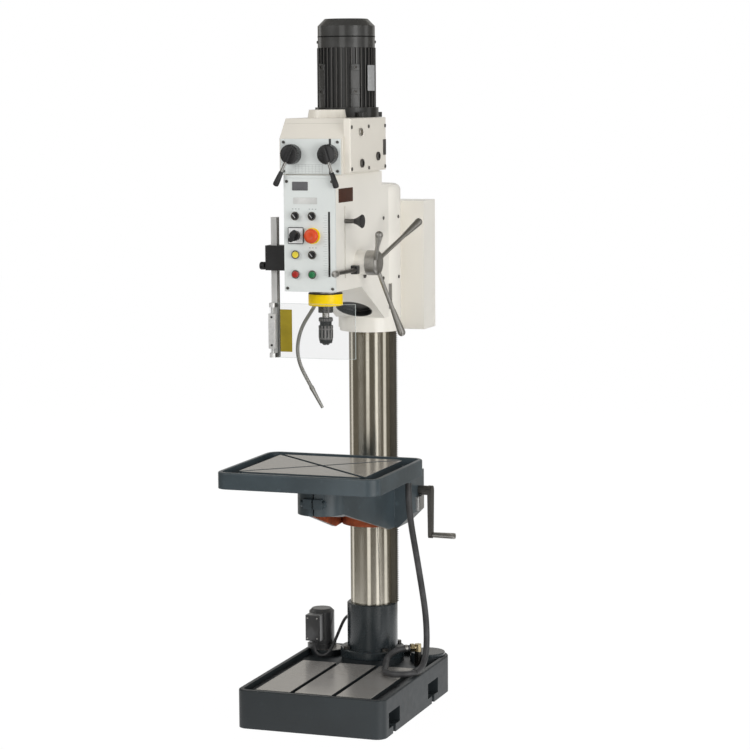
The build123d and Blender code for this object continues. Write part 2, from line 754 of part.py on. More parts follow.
def lift_pinion():
    """Shaft with the pinion in the rack and the bevel wheel that the crank turns."""
    x = lift_axis_x()
    bearing = (HOUSING_REAR - GEAR_ROOM_Y) / 2
    reach = GEAR_ROOM_Y + bearing - CLEAR
    shaft = rod_y(LIFT_SHAFT_R, x, -reach, reach, LIFT_Z)
    flat = Plane((x, -RACK_W / 2, LIFT_Z), x_dir=(1, 0, 0), z_dir=(0, 1, 0))
    shaft += gear_on(flat, LIFT_TEETH, LIFT_MODULE, 180, LIFT_GEAR_W)
    apex = BEVEL_PINION_TEETH * LIFT_MODULE / 2
    face = Plane((x, BEVEL_Y + apex, LIFT_Z), x_dir=(1, 0, 0), z_dir=(0, 1, 0))
    half_step = 180 / BEVEL_WHEEL_TEETH
    wheel = bevel_on(face, BEVEL_WHEEL_TEETH, LIFT_MODULE, half_step, apex)
    return shaft + wheel


def crank():
    """Crank shaft with its bevel pinion, collar, arm and the pin for the grip."""
    apex = BEVEL_WHEEL_TEETH * LIFT_MODULE / 2
    large_end = lift_axis_x() + apex + BEVEL_GAP
    face = Plane((large_end, BEVEL_Y, LIFT_Z), x_dir=(0, 1, 0), z_dir=(1, 0, 0))
    shaft = rod_x(CRANK_SHAFT_R, large_end, CRANK_X, BEVEL_Y, LIFT_Z)
    shaft += bevel_on(face, BEVEL_PINION_TEETH, LIFT_MODULE, 0, apex)
    shaft += rod_x(CRANK_COLLAR_R, HOUSING_RIGHT + CLEAR, CRANK_X, BEVEL_Y, LIFT_Z)
    low = LIFT_Z - CRANK_L
    hub = Pos(0, LIFT_Z) * Circle(CRANK_HUB_R)
    plan = make_hull(hub.edges() + (Pos(0, low) * Circle(CRANK_END_R)).edges())
    stand = Plane((CRANK_X, BEVEL_Y, 0), x_dir=(0, 1, 0), z_dir=(1, 0, 0))
    handle = stand * extrude(plan, CRANK_T)
    handle += rod_x(CRANK_PIN_R, CRANK_X + CRANK_T, CRANK_X + CRANK_T + CRANK_GRIP_L, BEVEL_Y, low)
    return shaft + handle


def crank_grip():
    """Turned sleeve that spins on the crank's pin."""
    low = LIFT_Z - CRANK_L
    start = CRANK_X + CRANK_T + CLEAR
    grip = rod_x(CRANK_GRIP_R, start, start + CRANK_GRIP_L, BEVEL_Y, low)
    grip = fillet(grip.edges(), CRANK_GRIP_R / 4)
    return grip - rod_x(CRANK_PIN_R + RUN, start, CRANK_X + CRANK_T + CRANK_GRIP_L + CLEAR, BEVEL_Y, low)


def table():
    """Cast table: rim, gutter, machined pad with crossed T-slots, stem and drain nipple."""
    plan = Pos(0, TABLE_Y) * Rectangle(TABLE_W, TABLE_L)
    plan = fillet(plan.vertices(), TABLE_CORNER)
    height = TABLE_TOP - TABLE_BOTTOM
    body = Pos(0, 0, TABLE_BOTTOM) * extrude(plan, height)
    body = fillet(body.edges().group_by(Axis.Z)[-1], BASE_EDGE_R)
    gutter = TABLE_TOP - TABLE_GUTTER_D
    body -= Pos(0, 0, gutter) * extrude(offset(plan, -TABLE_RIM_W), height)
    pad_top = TABLE_TOP - TABLE_PAD_D
    body += Pos(0, TABLE_Y, (gutter + pad_top) / 2) * Box(TABLE_PAD_W, TABLE_PAD_L, pad_top - gutter)
    reach = math.hypot(TABLE_PAD_W, TABLE_PAD_L)
    slant = math.degrees(math.atan2(TABLE_PAD_L, TABLE_PAD_W))
    pad_room = Pos(0, TABLE_Y, TABLE_TOP - height / 2) * Box(TABLE_PAD_W, TABLE_PAD_L, height)
    for angle in (slant, -slant):
        turn = Pos(0, TABLE_Y, 0) * Rot(0, 0, angle)
        neck_low = pad_top - TABLE_SLOT_D
        cut = block(-reach, reach, -TABLE_SLOT_W / 2, TABLE_SLOT_W / 2, neck_low, TABLE_TOP)
        cut += block(-reach, reach, -TABLE_SLOT_FOOT_W / 2, TABLE_SLOT_FOOT_W / 2,
                     neck_low - TABLE_SLOT_FOOT_D, neck_low)
        body -= (turn * cut) & pad_room
    body += rod_z(STEM_R, 0, TABLE_Y, TABLE_BOTTOM - STEM_L, TABLE_BOTTOM)
    x, y = drain_place()
    body += rod_z(DRAIN_R, x, y, TABLE_BOTTOM - DRAIN_L, TABLE_BOTTOM)
    return body - rod_z(DRAIN_BORE_R, x, y, TABLE_BOTTOM - DRAIN_L, gutter)


def drain_place():
    """Centre of the table's drain, in the rear right corner of the gutter."""
    return TABLE_W / 2 - DRAIN_INSET_X, TABLE_Y + TABLE_L / 2 - DRAIN_INSET_Y


def coolant_pump():
    """Immersion pump on the left corner boss: foot, round body with cap, tube and terminal box."""
    x, y = pump_place()
    foot_top = BASE_H + PUMP_FOOT_T
    foot_plan = RectangleRounded(PUMP_FOOT_W, PUMP_FOOT_W, PUMP_FOOT_W / 3)
    body = Pos(x, y, BASE_H) * extrude(foot_plan, PUMP_FOOT_T)
    body += rod_z(PUMP_R, x, y, foot_top, PUMP_TOP - PUMP_CAP_H)
    body += Pos(x, y, PUMP_TOP - PUMP_CAP_H / 2) * Cone(PUMP_R, PUMP_R - PUMP_CAP_H, PUMP_CAP_H)
    body += rod_z(PUMP_TUBE_R, x, y, PUMP_TUBE_BOTTOM, BASE_H)
    front = y - PUMP_R
    box_low = PUMP_BOX_Z
    left = x - PUMP_BOX_LEFT - PUMP_BOX_W / 2
    terminal = block(left, left + PUMP_BOX_W, front - PUMP_BOX_D, y, box_low, box_low + PUMP_BOX_H)
    terminal -= rod_z(PUMP_R, x, y, box_low, box_low + PUMP_BOX_H)
    return body + terminal


def pump_exit():
    """Cable exit in the underside of the pump's terminal box."""
    x, y = pump_place()
    return x - PUMP_BOX_LEFT, y - PUMP_R - PUMP_BOX_D + PUMP_EXIT_IN, PUMP_BOX_Z


def sleeve_gland_plane():
    """Plane at the rear left of the column foot, facing outwards, where the pump's cable enters."""
    angle = math.radians(CABLE_ENTRY_DEG)
    way = (math.cos(angle), math.sin(angle), 0)
    return Plane((FOOT_R * way[0], FOOT_R * way[1], CABLE_ENTRY_Z), z_dir=way)


def cable_glands():
    """Glands at both ends of the pump's cable."""
    x, y, z = pump_exit()
    upper = rod_z(GLAND_R, x, y, z - GLAND_L, z)
    lower = rod_on(sleeve_gland_plane(), GLAND_R, -GLAND_L / 2, GLAND_L)
    lower -= rod_z(FOOT_R, 0, 0, BASE_H, FOOT_TOP)
    return Compound(children=[upper.solid(), lower.solid()])


def pump_cable():
    """Black cable from the pump's terminal box, round over the gutter, to the column foot."""
    x, y, z = pump_exit()
    gland = sleeve_gland_plane()
    last = gland.origin + gland.z_dir * GLAND_L
    before = gland.origin + gland.z_dir * (GLAND_L + CABLE_LEAD)
    points = [(x, y, z - GLAND_L)] + CABLE_ROUTE + [tuple(before), tuple(last)]
    return cord("pump_cable", points, CABLE_R)


def drain_fitting():
    """Brass stand pipe with an elbow and barb, screwed into the base."""
    pipe = rod_z(FITTING_R, FITTING_X, FITTING_Y, GUTTER_Z, FITTING_Z + FITTING_R)
    pipe += Pos(FITTING_X, FITTING_Y, GUTTER_Z) * hex_bar(FITTING_R * FITTING_NUT, FITTING_R)
    arm_plane = fitting_plane()
    pipe += rod_on(arm_plane, FITTING_R * FITTING_BARB, 0, FITTING_REACH)
    return pipe + arm_plane * Pos(0, 0, FITTING_REACH / 2) * hex_bar(FITTING_R * FITTING_NUT, FITTING_R)


def fitting_plane():
    """Plane at the elbow, facing along the barb."""
    return Plane((FITTING_X, FITTING_Y, FITTING_Z), z_dir=FITTING_WAY)


def hose_parts():
    """Points of the drain hose's three stretches, cut in the middle of two of its straight runs."""
    x, y = drain_place()
    plane = fitting_plane()
    ends = [plane.origin + plane.z_dir * (FITTING_REACH + lead) for lead in (HOSE_LEAD, 0)]
    points = [Vector(x, y, TABLE_BOTTOM - DRAIN_L)] + [Vector(*p) for p in HOSE_ROUTE] + ends
    stretches = []
    start = []
    begin = 0
    for cut in HOSE_CUT_COUNTS:
        middle = (points[cut - 1] + points[cut]) / 2
        stretches.append(start + points[begin:cut] + [middle])
        start = [middle]
        begin = cut
    stretches.append(start + points[begin:])
    return [[tuple(p) for p in stretch] for stretch in stretches]


def slope_z(y):
    """Height of the head's sloped underside at a distance from the column's axis."""
    share = (y - SLOPE_FRONT) / (SLOPE_REAR - SLOPE_FRONT)
    return HEAD_BOTTOM + share * (SLOPE_LOW - HEAD_BOTTOM)


def lamp_plane():
    """Plane on the sloped underside, facing up into the head, at the lamp's centre."""
    run = SLOPE_REAR - SLOPE_FRONT
    drop = HEAD_BOTTOM - SLOPE_LOW
    length = math.hypot(run, drop)
    return Plane((0, LAMP_Y, slope_z(LAMP_Y)), x_dir=(1, 0, 0), z_dir=(0, drop / length, run / length))


def feed_y():
    """Feed shaft's place behind the quill."""
    return SPINDLE_Y + QUILL_R - TOOTH_TIP * FEED_MODULE + FEED_TEETH * FEED_MODULE / 2


def head_casting():
    """Cream head casting: quill housing, barrel on the column, sloped underside and side details."""
    half = HEAD_W / 2
    side = [(HEAD_FRONT, HEAD_BOTTOM), (SLOPE_FRONT, HEAD_BOTTOM), (SLOPE_REAR, SLOPE_LOW), (0, SLOPE_LOW),
            (0, SHOULDER_Z), (SHOULDER_Y, SHOULDER_Z), (SHOULDER_Y, HEAD_TOP), (HEAD_FRONT, HEAD_TOP)]
    body = slab_x(side, -half, half)
    shoulder = rod_z(BARREL_R, 0, 0, BARREL_BOTTOM, SHOULDER_Z)
    body += fillet(shoulder.edges().group_by(Axis.Z)[-1], BARREL_FILLET)
    body += block(-HEAD_PAD_W / 2, HEAD_PAD_W / 2, 0, HEAD_PAD_Y - SEAT, HEAD_PAD_BOTTOM, HEAD_PAD_TOP)
    body += rod_x(FEED_BOSS_R, 0, half + FEED_BOSS_T, feed_y(), FEED_Z)
    body -= rod_z(COL_R + SEAT, 0, 0, BARREL_BOTTOM, COL_TOP + SEAT)
    body -= rod_z(QUILL_R + RUN, 0, SPINDLE_Y, HEAD_BOTTOM, HEAD_TOP)
    room = FEED_TEETH * FEED_MODULE / 2 + FEED_MODULE
    body -= rod_x(room, -FEED_GEAR_W / 2 - CLEAR, FEED_GEAR_W / 2 + CLEAR, feed_y(), FEED_Z)
    body -= rod_x(FEED_SHAFT_R + RUN, FEED_SHAFT_LEFT - CLEAR, half + FEED_BOSS_T, feed_y(), FEED_Z)
    body -= block(-HOLLOW_W / 2, HOLLOW_W / 2, HOLLOW_FRONT, HOLLOW_REAR, HOLLOW_BOTTOM, HEAD_TOP)
    body -= rod_on(lamp_plane(), LAMP_R + SEAT, -LAMP_RECESS, LAMP_RECESS)
    for x, y, z in head_screw_places():
        body -= rod_x(SCREW_R + SEAT, x - SCREW_R, BARREL_R, y, z)
    body -= block(half - STOP_SLOT_D, half, STOP_Y - STOP_SLOT_W / 2, STOP_Y + STOP_SLOT_W / 2,
                  STOP_SLOT_BOTTOM, STOP_SLOT_TOP)
    recess = block(BARREL_R - CLAMP_RECESS_D, BARREL_R, -CLAMP_RECESS_W / 2, CLAMP_RECESS_W / 2,
                   CLAMP_RECESS_BOTTOM, CLAMP_RECESS_TOP)
    return body - Rot(0, 0, CLAMP_RECESS_ANGLE) * recess


def work_lamp():
    """Lamp disc at the bottom of its recess in the head's underside."""
    plane = lamp_plane()
    return rod_on(plane, LAMP_R, LAMP_RECESS - LAMP_T, LAMP_RECESS)


def quill():
    """Quill with rack teeth on its rear side and bores for its bearings."""
    body = rod_z(QUILL_R, 0, SPINDLE_Y, QUILL_BOTTOM, QUILL_TOP)
    body -= rod_z(QUILL_BORE_R, 0, SPINDLE_Y, QUILL_BOTTOM, QUILL_TOP)
    pitch = math.pi * FEED_MODULE
    line = SPINDLE_Y + QUILL_R - TOOTH_TIP * FEED_MODULE
    tip = SPINDLE_Y + QUILL_R + SEAT
    root = line - TOOTH_ROOT * FEED_MODULE
    half = FEED_GEAR_W / 2 + CLEAR
    for k in range(-2, math.ceil(QUILL_TRAVEL / pitch) + 3):
        z = FEED_Z + k * pitch
        wide = (0.5 - TIP_HALF) * pitch
        narrow = (0.5 - ROOT_HALF) * pitch
        gap = [(tip, z - wide), (root, z - narrow), (root, z + narrow), (tip, z + wide)]
        body -= slab_x(gap, -half, half)
    return body


def quill_collar():
    """Yellow ring clamped on the quill's lower end."""
    ring = rod_z(QUILL_COLLAR_R, 0, SPINDLE_Y, QUILL_BOTTOM, QUILL_COLLAR_TOP)
    ring = fillet(ring.edges(), BASE_EDGE_R / 2)
    return ring - rod_z(QUILL_R + SEAT, 0, SPINDLE_Y, QUILL_BOTTOM, QUILL_COLLAR_TOP)


def spindle_bearings():
    """Bearing rings at both ends of the quill."""
    rings = []
    for low in (QUILL_BOTTOM + BEARING_INSET, QUILL_TOP - BEARING_INSET - BEARING_H):
        ring = rod_z(QUILL_BORE_R - SEAT, 0, SPINDLE_Y, low, low + BEARING_H)
        rings.append((ring - rod_z(SPINDLE_R + RUN, 0, SPINDLE_Y, low, low + BEARING_H)).solid())
    return Compound(children=rings)


def spindle():
    """Spindle through the quill, with its nose and the neck that the chuck sits on."""
    body = rod_z(SPINDLE_R, 0, SPINDLE_Y, QUILL_BOTTOM - CLEAR, SPINDLE_TOP)
    body += rod_z(NOSE_R, 0, SPINDLE_Y, NOSE_BOTTOM, QUILL_BOTTOM - CLEAR)
    return body + rod_z(NECK_R, 0, SPINDLE_Y, CHUCK_TOP - CHUCK_TAPER_D, NOSE_BOTTOM)


def drill_chuck():
    """Keyless chuck: body on the neck, turning sleeve, and three jaws with room for a shank."""
    y = SPINDLE_Y
    ring = rod_z(CHUCK_BODY_R, 0, y, CHUCK_TOP - CHUCK_RING_H, CHUCK_TOP)
    body = chamfer(ring.edges(), CHUCK_BODY_R / 10)
    body += rod_z(CHUCK_WAIST_R, 0, y, CHUCK_SLEEVE_TOP + SEAT, CHUCK_TOP - CHUCK_RING_H)
    body += rod_z(JAW_R, 0, y, JAW_TOP + SEAT, CHUCK_SLEEVE_TOP + SEAT)
    body -= rod_z(NECK_R + SEAT, 0, y, CHUCK_TOP - CHUCK_TAPER_D, CHUCK_TOP)
    shoulder = CHUCK_SLEEVE_BOTTOM + CHUCK_MOUTH_H
    sleeve = rod_z(CHUCK_SLEEVE_R, 0, y, shoulder, CHUCK_SLEEVE_TOP)
    sleeve = chamfer(sleeve.edges().group_by(Axis.Z)[-1], CHUCK_SLEEVE_R / 8)
    sleeve += Pos(0, y, shoulder - CHUCK_MOUTH_H / 2) * Cone(CHUCK_MOUTH_R, CHUCK_SLEEVE_R, CHUCK_MOUTH_H)
    sleeve -= rod_z(JAW_R + SEAT, 0, y, CHUCK_SLEEVE_BOTTOM, CHUCK_SLEEVE_TOP)
    jaws = rod_z(JAW_R, 0, y, JAW_BOTTOM, JAW_TOP) - rod_z(JAW_BORE_R, 0, y, JAW_BOTTOM, JAW_TOP)
    nose = Pos(0, y, (JAW_BOTTOM + CHUCK_SLEEVE_BOTTOM) / 2) * Cone(
        JAW_NOSE_R, JAW_R, CHUCK_SLEEVE_BOTTOM - JAW_BOTTOM)
    jaws &= nose + rod_z(JAW_R, 0, y, CHUCK_SLEEVE_BOTTOM, JAW_TOP)
    for k in range(JAW_COUNT):
        gap = block(0, 2 * JAW_R, -JAW_GAP / 2, JAW_GAP / 2, JAW_BOTTOM, JAW_TOP)
        jaws -= Pos(0, y, 0) * Rot(0, 0, 90 + 360 * k / JAW_COUNT) * gap
    return Compound(children=[body.solid(), sleeve.solid()] + list(jaws.solids()))


def feed_shaft():
    """Feed shaft with the pinion that moves the quill."""
    right = HEAD_W / 2 + FEED_BOSS_T + CLEAR + HUB_L
    shaft = rod_x(FEED_SHAFT_R, FEED_SHAFT_LEFT, right, feed_y(), FEED_Z)
    flat = Plane((-FEED_GEAR_W / 2, feed_y(), FEED_Z), x_dir=(0, 1, 0), z_dir=(1, 0, 0))
    return shaft + gear_on(flat, FEED_TEETH, FEED_MODULE, 180, FEED_GEAR_W)


def hub_left():
    """Left face of the feed hub."""
    return HEAD_W / 2 + FEED_BOSS_T + CLEAR


def lever_planes():
    """Planes at the feed levers' roots, facing along each lever."""
    planes = []
    for k in range(LEVER_COUNT):
        angle = math.radians(LEVER_FIRST_DEG + 360 * k / LEVER_COUNT)
        way = (LEVER_OUT, LEVER_RADIAL * math.cos(angle), LEVER_RADIAL * math.sin(angle))
        planes.append(Plane((hub_left() + HUB_LEVER_X, feed_y(), FEED_Z), z_dir=way))
    return planes


def feed_hub():
    """Round hub on the feed shaft, with a stepped face and holes for the levers."""
    left = hub_left()
    hub = rod_x(HUB_R, left, left + HUB_L, feed_y(), FEED_Z)
    hub = fillet(hub.edges().group_by(Axis.X)[-1], HUB_R / 3)
    hub -= rod_x(FEED_SHAFT_R + SEAT, left, left + HUB_L, feed_y(), FEED_Z)
    for plane in lever_planes():
        hub -= rod_on(plane, LEVER_ROD_R + SEAT, LEVER_ROOT, LEVER_RADIAL)
    return hub


def feed_levers():
    """Three levers that stand out of the hub, each a rod with a tapered metal grip."""
    length = math.hypot(LEVER_RADIAL, LEVER_OUT)
    levers = []
    for plane in lever_planes():
        grip_from = length - LEVER_GRIP_L
        lever = rod_on(plane, LEVER_ROD_R, LEVER_ROOT + SEAT, grip_from)
        lever += cone_on(plane, LEVER_GRIP_NECK_R, LEVER_GRIP_R, grip_from, length - LEVER_GRIP_R)
        lever += plane * Pos(0, 0, length - LEVER_GRIP_R) * Sphere(LEVER_GRIP_R)
        levers.append(lever.solid())
    return Compound(children=levers)


def depth_stop():
    """Depth stop: a block in the side slot, its rod and a flared knob."""
    face = HEAD_W / 2
    half = STOP_SLOT_W / 2 - CLEAR
    stop = block(face - STOP_SLOT_D + CLEAR, face, STOP_Y - half, STOP_Y + half,
                 STOP_Z - STOP_BLOCK_H / 2, STOP_Z + STOP_BLOCK_H / 2)
    stop += rod_x(min(STOP_ROD_R, half), face - STOP_SLOT_D / 2, face + STOP_ROD_L, STOP_Y, STOP_Z)
    plane = Plane((face + STOP_ROD_L, STOP_Y, STOP_Z), z_dir=(1, 0, 0))
    return stop + cone_on(plane, STOP_KNOB_NECK_R, STOP_KNOB_R, 0, STOP_KNOB_L)


def feed_clutch_lever():
    """Small lever with a ball end, on a round hub beside the feed hub."""
    face = HEAD_W / 2 + CLEAR
    hub = rod_x(CLUTCH_HUB_R, face, face + CLUTCH_HUB_L, CLUTCH_Y, CLUTCH_Z)
    x = face + CLUTCH_HUB_L / 2
    hub += rod_y(CLUTCH_LEVER_R, x, CLUTCH_Y - CLUTCH_LEVER_L, CLUTCH_Y, CLUTCH_Z)
    return hub + Pos(x, CLUTCH_Y - CLUTCH_LEVER_L, CLUTCH_Z) * Sphere(CLUTCH_BALL_R)


def front_panel():
    """Panel on the head, speed plate on the gearbox and square plate under the isolator."""
    half = HEAD_W / 2
    face = HEAD_FRONT - PANEL_T
    panel = block(-half, half, face, HEAD_FRONT - SEAT, HEAD_BOTTOM, PANEL_TOP)
    slot_left = SCALE_SLOT_X - SCALE_SLOT_W / 2
    panel -= block(slot_left, slot_left + SCALE_SLOT_W, face, face + SCALE_SLOT_D,
                   SCALE_SLOT_BOTTOM, SCALE_SLOT_TOP)
    panel -= rod_y(ESTOP_STEM_R + CLEAR, CONTROL_RIGHT, face, HEAD_FRONT, ROW_MAIN)
    speed = block(-SPEED_PLATE_W / 2, SPEED_PLATE_W / 2, BOX_FRONT - SPEED_PLATE_T, BOX_FRONT - SEAT,
                  SPEED_PLATE_BOTTOM, SPEED_PLATE_TOP)
    wide = ISOLATOR_W / 2
    square = block(CONTROL_LEFT - wide, CONTROL_LEFT + wide, face - ISOLATOR_T, face,
                   ROW_MAIN - wide, ROW_MAIN + wide)
    return Compound(children=[panel.solid(), speed.solid(), square.solid()])


def selector_places():
    """Centres of the small rotary selectors on the panel."""
    return {"coolant_selector": (CONTROL_LEFT, ROW_SELECT), "light_selector": (CONTROL_RIGHT, ROW_SELECT),
            "mode_selector": (CONTROL_RIGHT, ROW_LAMP)}


def push_places():
    """Centres of the push buttons on the panel."""
    return {"stop_button": (CONTROL_LEFT, ROW_PUSH), "start_button": (CONTROL_RIGHT, ROW_PUSH)}


def control_bezels():
    """Chromed rings round the buttons, the pilot lamp and the selectors."""
    face = HEAD_FRONT - PANEL_T
    rings = []
    places = list(selector_places().values()) + list(push_places().values()) + [(CONTROL_LEFT, ROW_LAMP)]
    for x, z in places:
        ring = rod_y(BEZEL_R, x, face - BEZEL_T, face, z) - rod_y(CAP_R + CLEAR, x, face - BEZEL_T, face, z)
        rings.append(ring.solid())
    return Compound(children=rings)


def push_button(x, z):
    """Cap that travels into its bezel."""
    face = HEAD_FRONT - PANEL_T - CAP_TRAVEL - CLEAR
    cap = rod_y(CAP_R, x, face - CAP_L, face, z)
    return fillet(cap.edges().group_by(Axis.Y)[0], CAP_R / 6)


def pilot_lamp():
    """Yellow lens in its bezel."""
    face = HEAD_FRONT - PANEL_T
    lens = rod_y(CAP_R, CONTROL_LEFT, face - BEZEL_T - CAP_TRAVEL, face, ROW_LAMP)
    return fillet(lens.edges().group_by(Axis.Y)[0], CAP_R / 3)


def selector(x, z, r, length, face):
    """Rotary knob with a raised ridge for the fingers."""
    knob = rod_y(r, x, face - length, face - CLEAR, z)
    top = face - length
    return knob + block(x - KNOB_RIDGE_W / 2, x + KNOB_RIDGE_W / 2, top - KNOB_RIDGE_T, top, z - r, z + r)


def isolator_knob():
    """Rotary main switch on its square plate."""
    face = HEAD_FRONT - PANEL_T - ISOLATOR_T
    return selector(CONTROL_LEFT, ROW_MAIN, ISOLATOR_R, ISOLATOR_L, face)


def estop_ring():
    """Yellow ring under the emergency stop."""
    face = HEAD_FRONT - PANEL_T
    ring = rod_y(ESTOP_RING_R, CONTROL_RIGHT, face - ESTOP_RING_T, face, ROW_MAIN)
    return ring - rod_y(ESTOP_STEM_R + CLEAR, CONTROL_RIGHT, face - ESTOP_RING_T, face, ROW_MAIN)


def estop_button():
    """Red mushroom button on its stem."""
    under = HEAD_FRONT - PANEL_T - ESTOP_RING_T - ESTOP_TRAVEL - CLEAR
    cap = rod_y(ESTOP_CAP_R, CONTROL_RIGHT, under - ESTOP_CAP_T, under, ROW_MAIN)
    cap = fillet(cap.edges().group_by(Axis.Y)[0], ESTOP_CAP_T / 2)
    return cap + rod_y(ESTOP_STEM_R, CONTROL_RIGHT, under, HEAD_FRONT - ESTOP_TRAVEL - CLEAR, ROW_MAIN)


def box_outline(wall):
    """Side outline of the gearbox as (y, z) points, drawn in by a wall."""
    front = BOX_FRONT + wall
    top = BOX_TOP + COVER_T
    rear = motor_y()
    low = HEAD_TOP + wall
    return [(front, low), (front, BEVEL_Z), (BEVEL_BACK + wall, top), (rear, top), (rear, low)]


def lay_y():
    """Lay shaft's place between the spindle and the motor."""
    return SPINDLE_Y + DRIVE_MODULE * (SPINDLE_TEETH + LAY_PINION_TEETH) / 2


def motor_y():
    """Motor's place behind the lay shaft."""
    return lay_y() + DRIVE_MODULE * (LAY_WHEEL_TEETH + MOTOR_TEETH) / 2


def pinion_hole(z0, z1):
    """Opening that the motor's pinion passes through."""
    return rod_z(DRIVE_MODULE * (MOTOR_TEETH / 2 + TOOTH_TIP) + PINION_ROOM, 0, motor_y(), z0, z1)


def box_blank(wall):
    """Gearbox volume: front with its bevel and a rounded rear round the motor's axis."""
    half = BOX_W / 2 - wall
    blank = slab_x(box_outline(wall), -half, half)
    return blank + rod_z(BOX_REAR_R - wall, 0, motor_y(), HEAD_TOP + wall, BOX_TOP + COVER_T)


def gearbox_housing():
    """Gearbox shell, open at the top, with bearings for the spindle sleeve and lay shaft."""
    room = block(-BOX_W, BOX_W, BOX_FRONT - BOX_W, BOX_W, HEAD_TOP + SEAT, BOX_TOP)
    shell = (box_blank(0) - box_blank(BOX_WALL)) & room
    shell -= rod_z(DRIVE_SLEEVE_R + RUN, 0, SPINDLE_Y, HEAD_TOP, HEAD_TOP + BOX_WALL)
    floor = HEAD_TOP + BOX_WALL
    return shell - rod_z(LAY_SHAFT_R + RUN, 0, lay_y(), floor - LAY_BEARING_D, floor)


def gearbox_cover():
    """Top cover of the gearbox, with openings for the motor's pinion and the spindle."""
    room = block(-BOX_W, BOX_W, BOX_FRONT - BOX_W, BOX_W, BOX_TOP + SEAT, BOX_TOP + COVER_T)
    cover = box_blank(0) & room
    cover -= pinion_hole(BOX_TOP, BOX_TOP + COVER_T)
    cover -= rod_z(SPINDLE_R + SPINDLE_ROOM, 0, SPINDLE_Y, BOX_TOP, BOX_TOP + COVER_T)
    return cover - rod_z(LAY_SHAFT_R + RUN, 0, lay_y(), BOX_TOP, BOX_TOP + LAY_BEARING_D)


def gearbox_side_cover():
    """Deep cover on the gearbox's right side."""
    left = BOX_W / 2 + SEAT
    cover = block(left, left + SIDE_COVER_T, SIDE_COVER_FRONT, SIDE_COVER_REAR, SIDE_COVER_BOTTOM,
                  BOX_TOP + COVER_T)
    edges = cover.edges().group_by(Axis.X)[-1]
    return fillet(edges, BASE_EDGE_R)


def side_cover_face():
    """Outer face of the gearbox's side cover."""
    return BOX_W / 2 + SEAT + SIDE_COVER_T


def spindle_cap():
    """Round cap over the spindle's upper end."""
    low = BOX_TOP + COVER_T
    cap = Pos(0, SPINDLE_Y + CAP_BACK, low + CAP_H / 2) * Cone(CAP_BASE_R, CAP_TOP_R, CAP_H)
    return cap - rod_z(SPINDLE_R + SPINDLE_ROOM, 0, SPINDLE_Y, low, low + CAP_H / 2)


def oil_fittings():
    """Sight glass and oil plugs on the gearbox's side cover."""
    face = side_cover_face()
    pieces = []
    for r, y, z in OIL_PLACES:
        pieces.append(rod_x(r, face, face + PLUG_T, y, z).solid())
    return Compound(children=pieces)


def fasteners():
    """Foot bolts, and the screws of the panel, the plates, the side cover and the head."""
    pieces = []
    for x, y in foot_bolt_places():
        bolt = Pos(x, y, BASE_H + FLANGE_T) * hex_bar(BOLT_HEAD_R, BOLT_HEAD_T)
        bolt += rod_z(BOLT_R, x, y, BASE_H - BOLT_DEPTH + SEAT, BASE_H + FLANGE_T)
        pieces.append(bolt.solid())
    face = HEAD_FRONT - PANEL_T
    side = HEAD_W / 2 - PANEL_SCREW_INSET
    for x in (-side, side):
        for z in (HEAD_BOTTOM + PANEL_SCREW_INSET, PANEL_TOP - PANEL_SCREW_INSET):
            pieces.append(rod_y(PANEL_SCREW_R, x, face - SCREW_T, face, z).solid())
    speed_side = SPEED_PLATE_W / 2 - PANEL_SCREW_INSET
    face = BOX_FRONT - SPEED_PLATE_T
    for x in (-speed_side, speed_side):
        for z in (SPEED_PLATE_BOTTOM + PANEL_SCREW_INSET, SPEED_PLATE_TOP - PANEL_SCREW_INSET):
            pieces.append(rod_y(PANEL_SCREW_R, x, face - SCREW_T, face, z).solid())
    face = side_cover_face()
    front = SIDE_COVER_FRONT + SIDE_COVER_INSET
    rear = SIDE_COVER_REAR - SIDE_COVER_INSET
    for y in (front, (front + rear) / 2, rear):
        for z in (SIDE_COVER_BOTTOM + SIDE_COVER_INSET, BOX_TOP - SIDE_COVER_INSET):
            pieces.append(rod_x(SCREW_R, face, face + SCREW_T, y, z).solid())
    for x, y, z in head_screw_places():
        pieces.append(rod_x(SCREW_R, x - SCREW_R, x + SCREW_T, y, z).solid())
    return Compound(children=pieces)


def table_clamp_bolt():
    """Bolt that closes the arm's split boss on the table's stem."""
    bolt = rod_x(BOSS_BOLT_R, -BOSS_LUG_X, BOSS_LUG_X, BOSS_BOLT_Y, BOSS_BOLT_Z)
    for side in (-1, 1):
        face = Plane((side * BOSS_LUG_X, BOSS_BOLT_Y, BOSS_BOLT_Z), z_dir=(side, 0, 0))
        bolt += face * hex_bar(BOSS_BOLT_HEAD_R, BOSS_BOLT_HEAD_T)
    return bolt


def head_screw_places():
    """Places on the head's right side of the set screws that fix it on the column."""
    places = []
    for y, z in HEAD_SCREW_PLACES:
        barrel_x = math.sqrt(max(BARREL_R ** 2 - y ** 2, 0))
        places.append((max(HEAD_W / 2, barrel_x), y, z))
    return places


def speed_selector(x, lean_deg):
    """Black speed knob with a chromed lever and a black grip, leaning from straight down."""
    face = BOX_FRONT - SPEED_PLATE_T - CLEAR
    knob = rod_y(SPEED_KNOB_R, x, face - SPEED_KNOB_T, face, SPEED_Z)
    knob = fillet(knob.edges().group_by(Axis.Y)[0], SPEED_KNOB_R / 5)
    lean = math.radians(lean_deg)
    way = (-math.sin(lean), 0, -math.cos(lean))
    plane = Plane((x, face - SPEED_KNOB_T + 2 * SPEED_LEVER_R, SPEED_Z), z_dir=way)
    grip_from = SPEED_LEVER_L - SPEED_GRIP_L
    knob += rod_on(plane, SPEED_LEVER_R, 0, grip_from)
    return knob + cone_on(plane, SPEED_LEVER_R, SPEED_GRIP_R, grip_from, SPEED_LEVER_L)


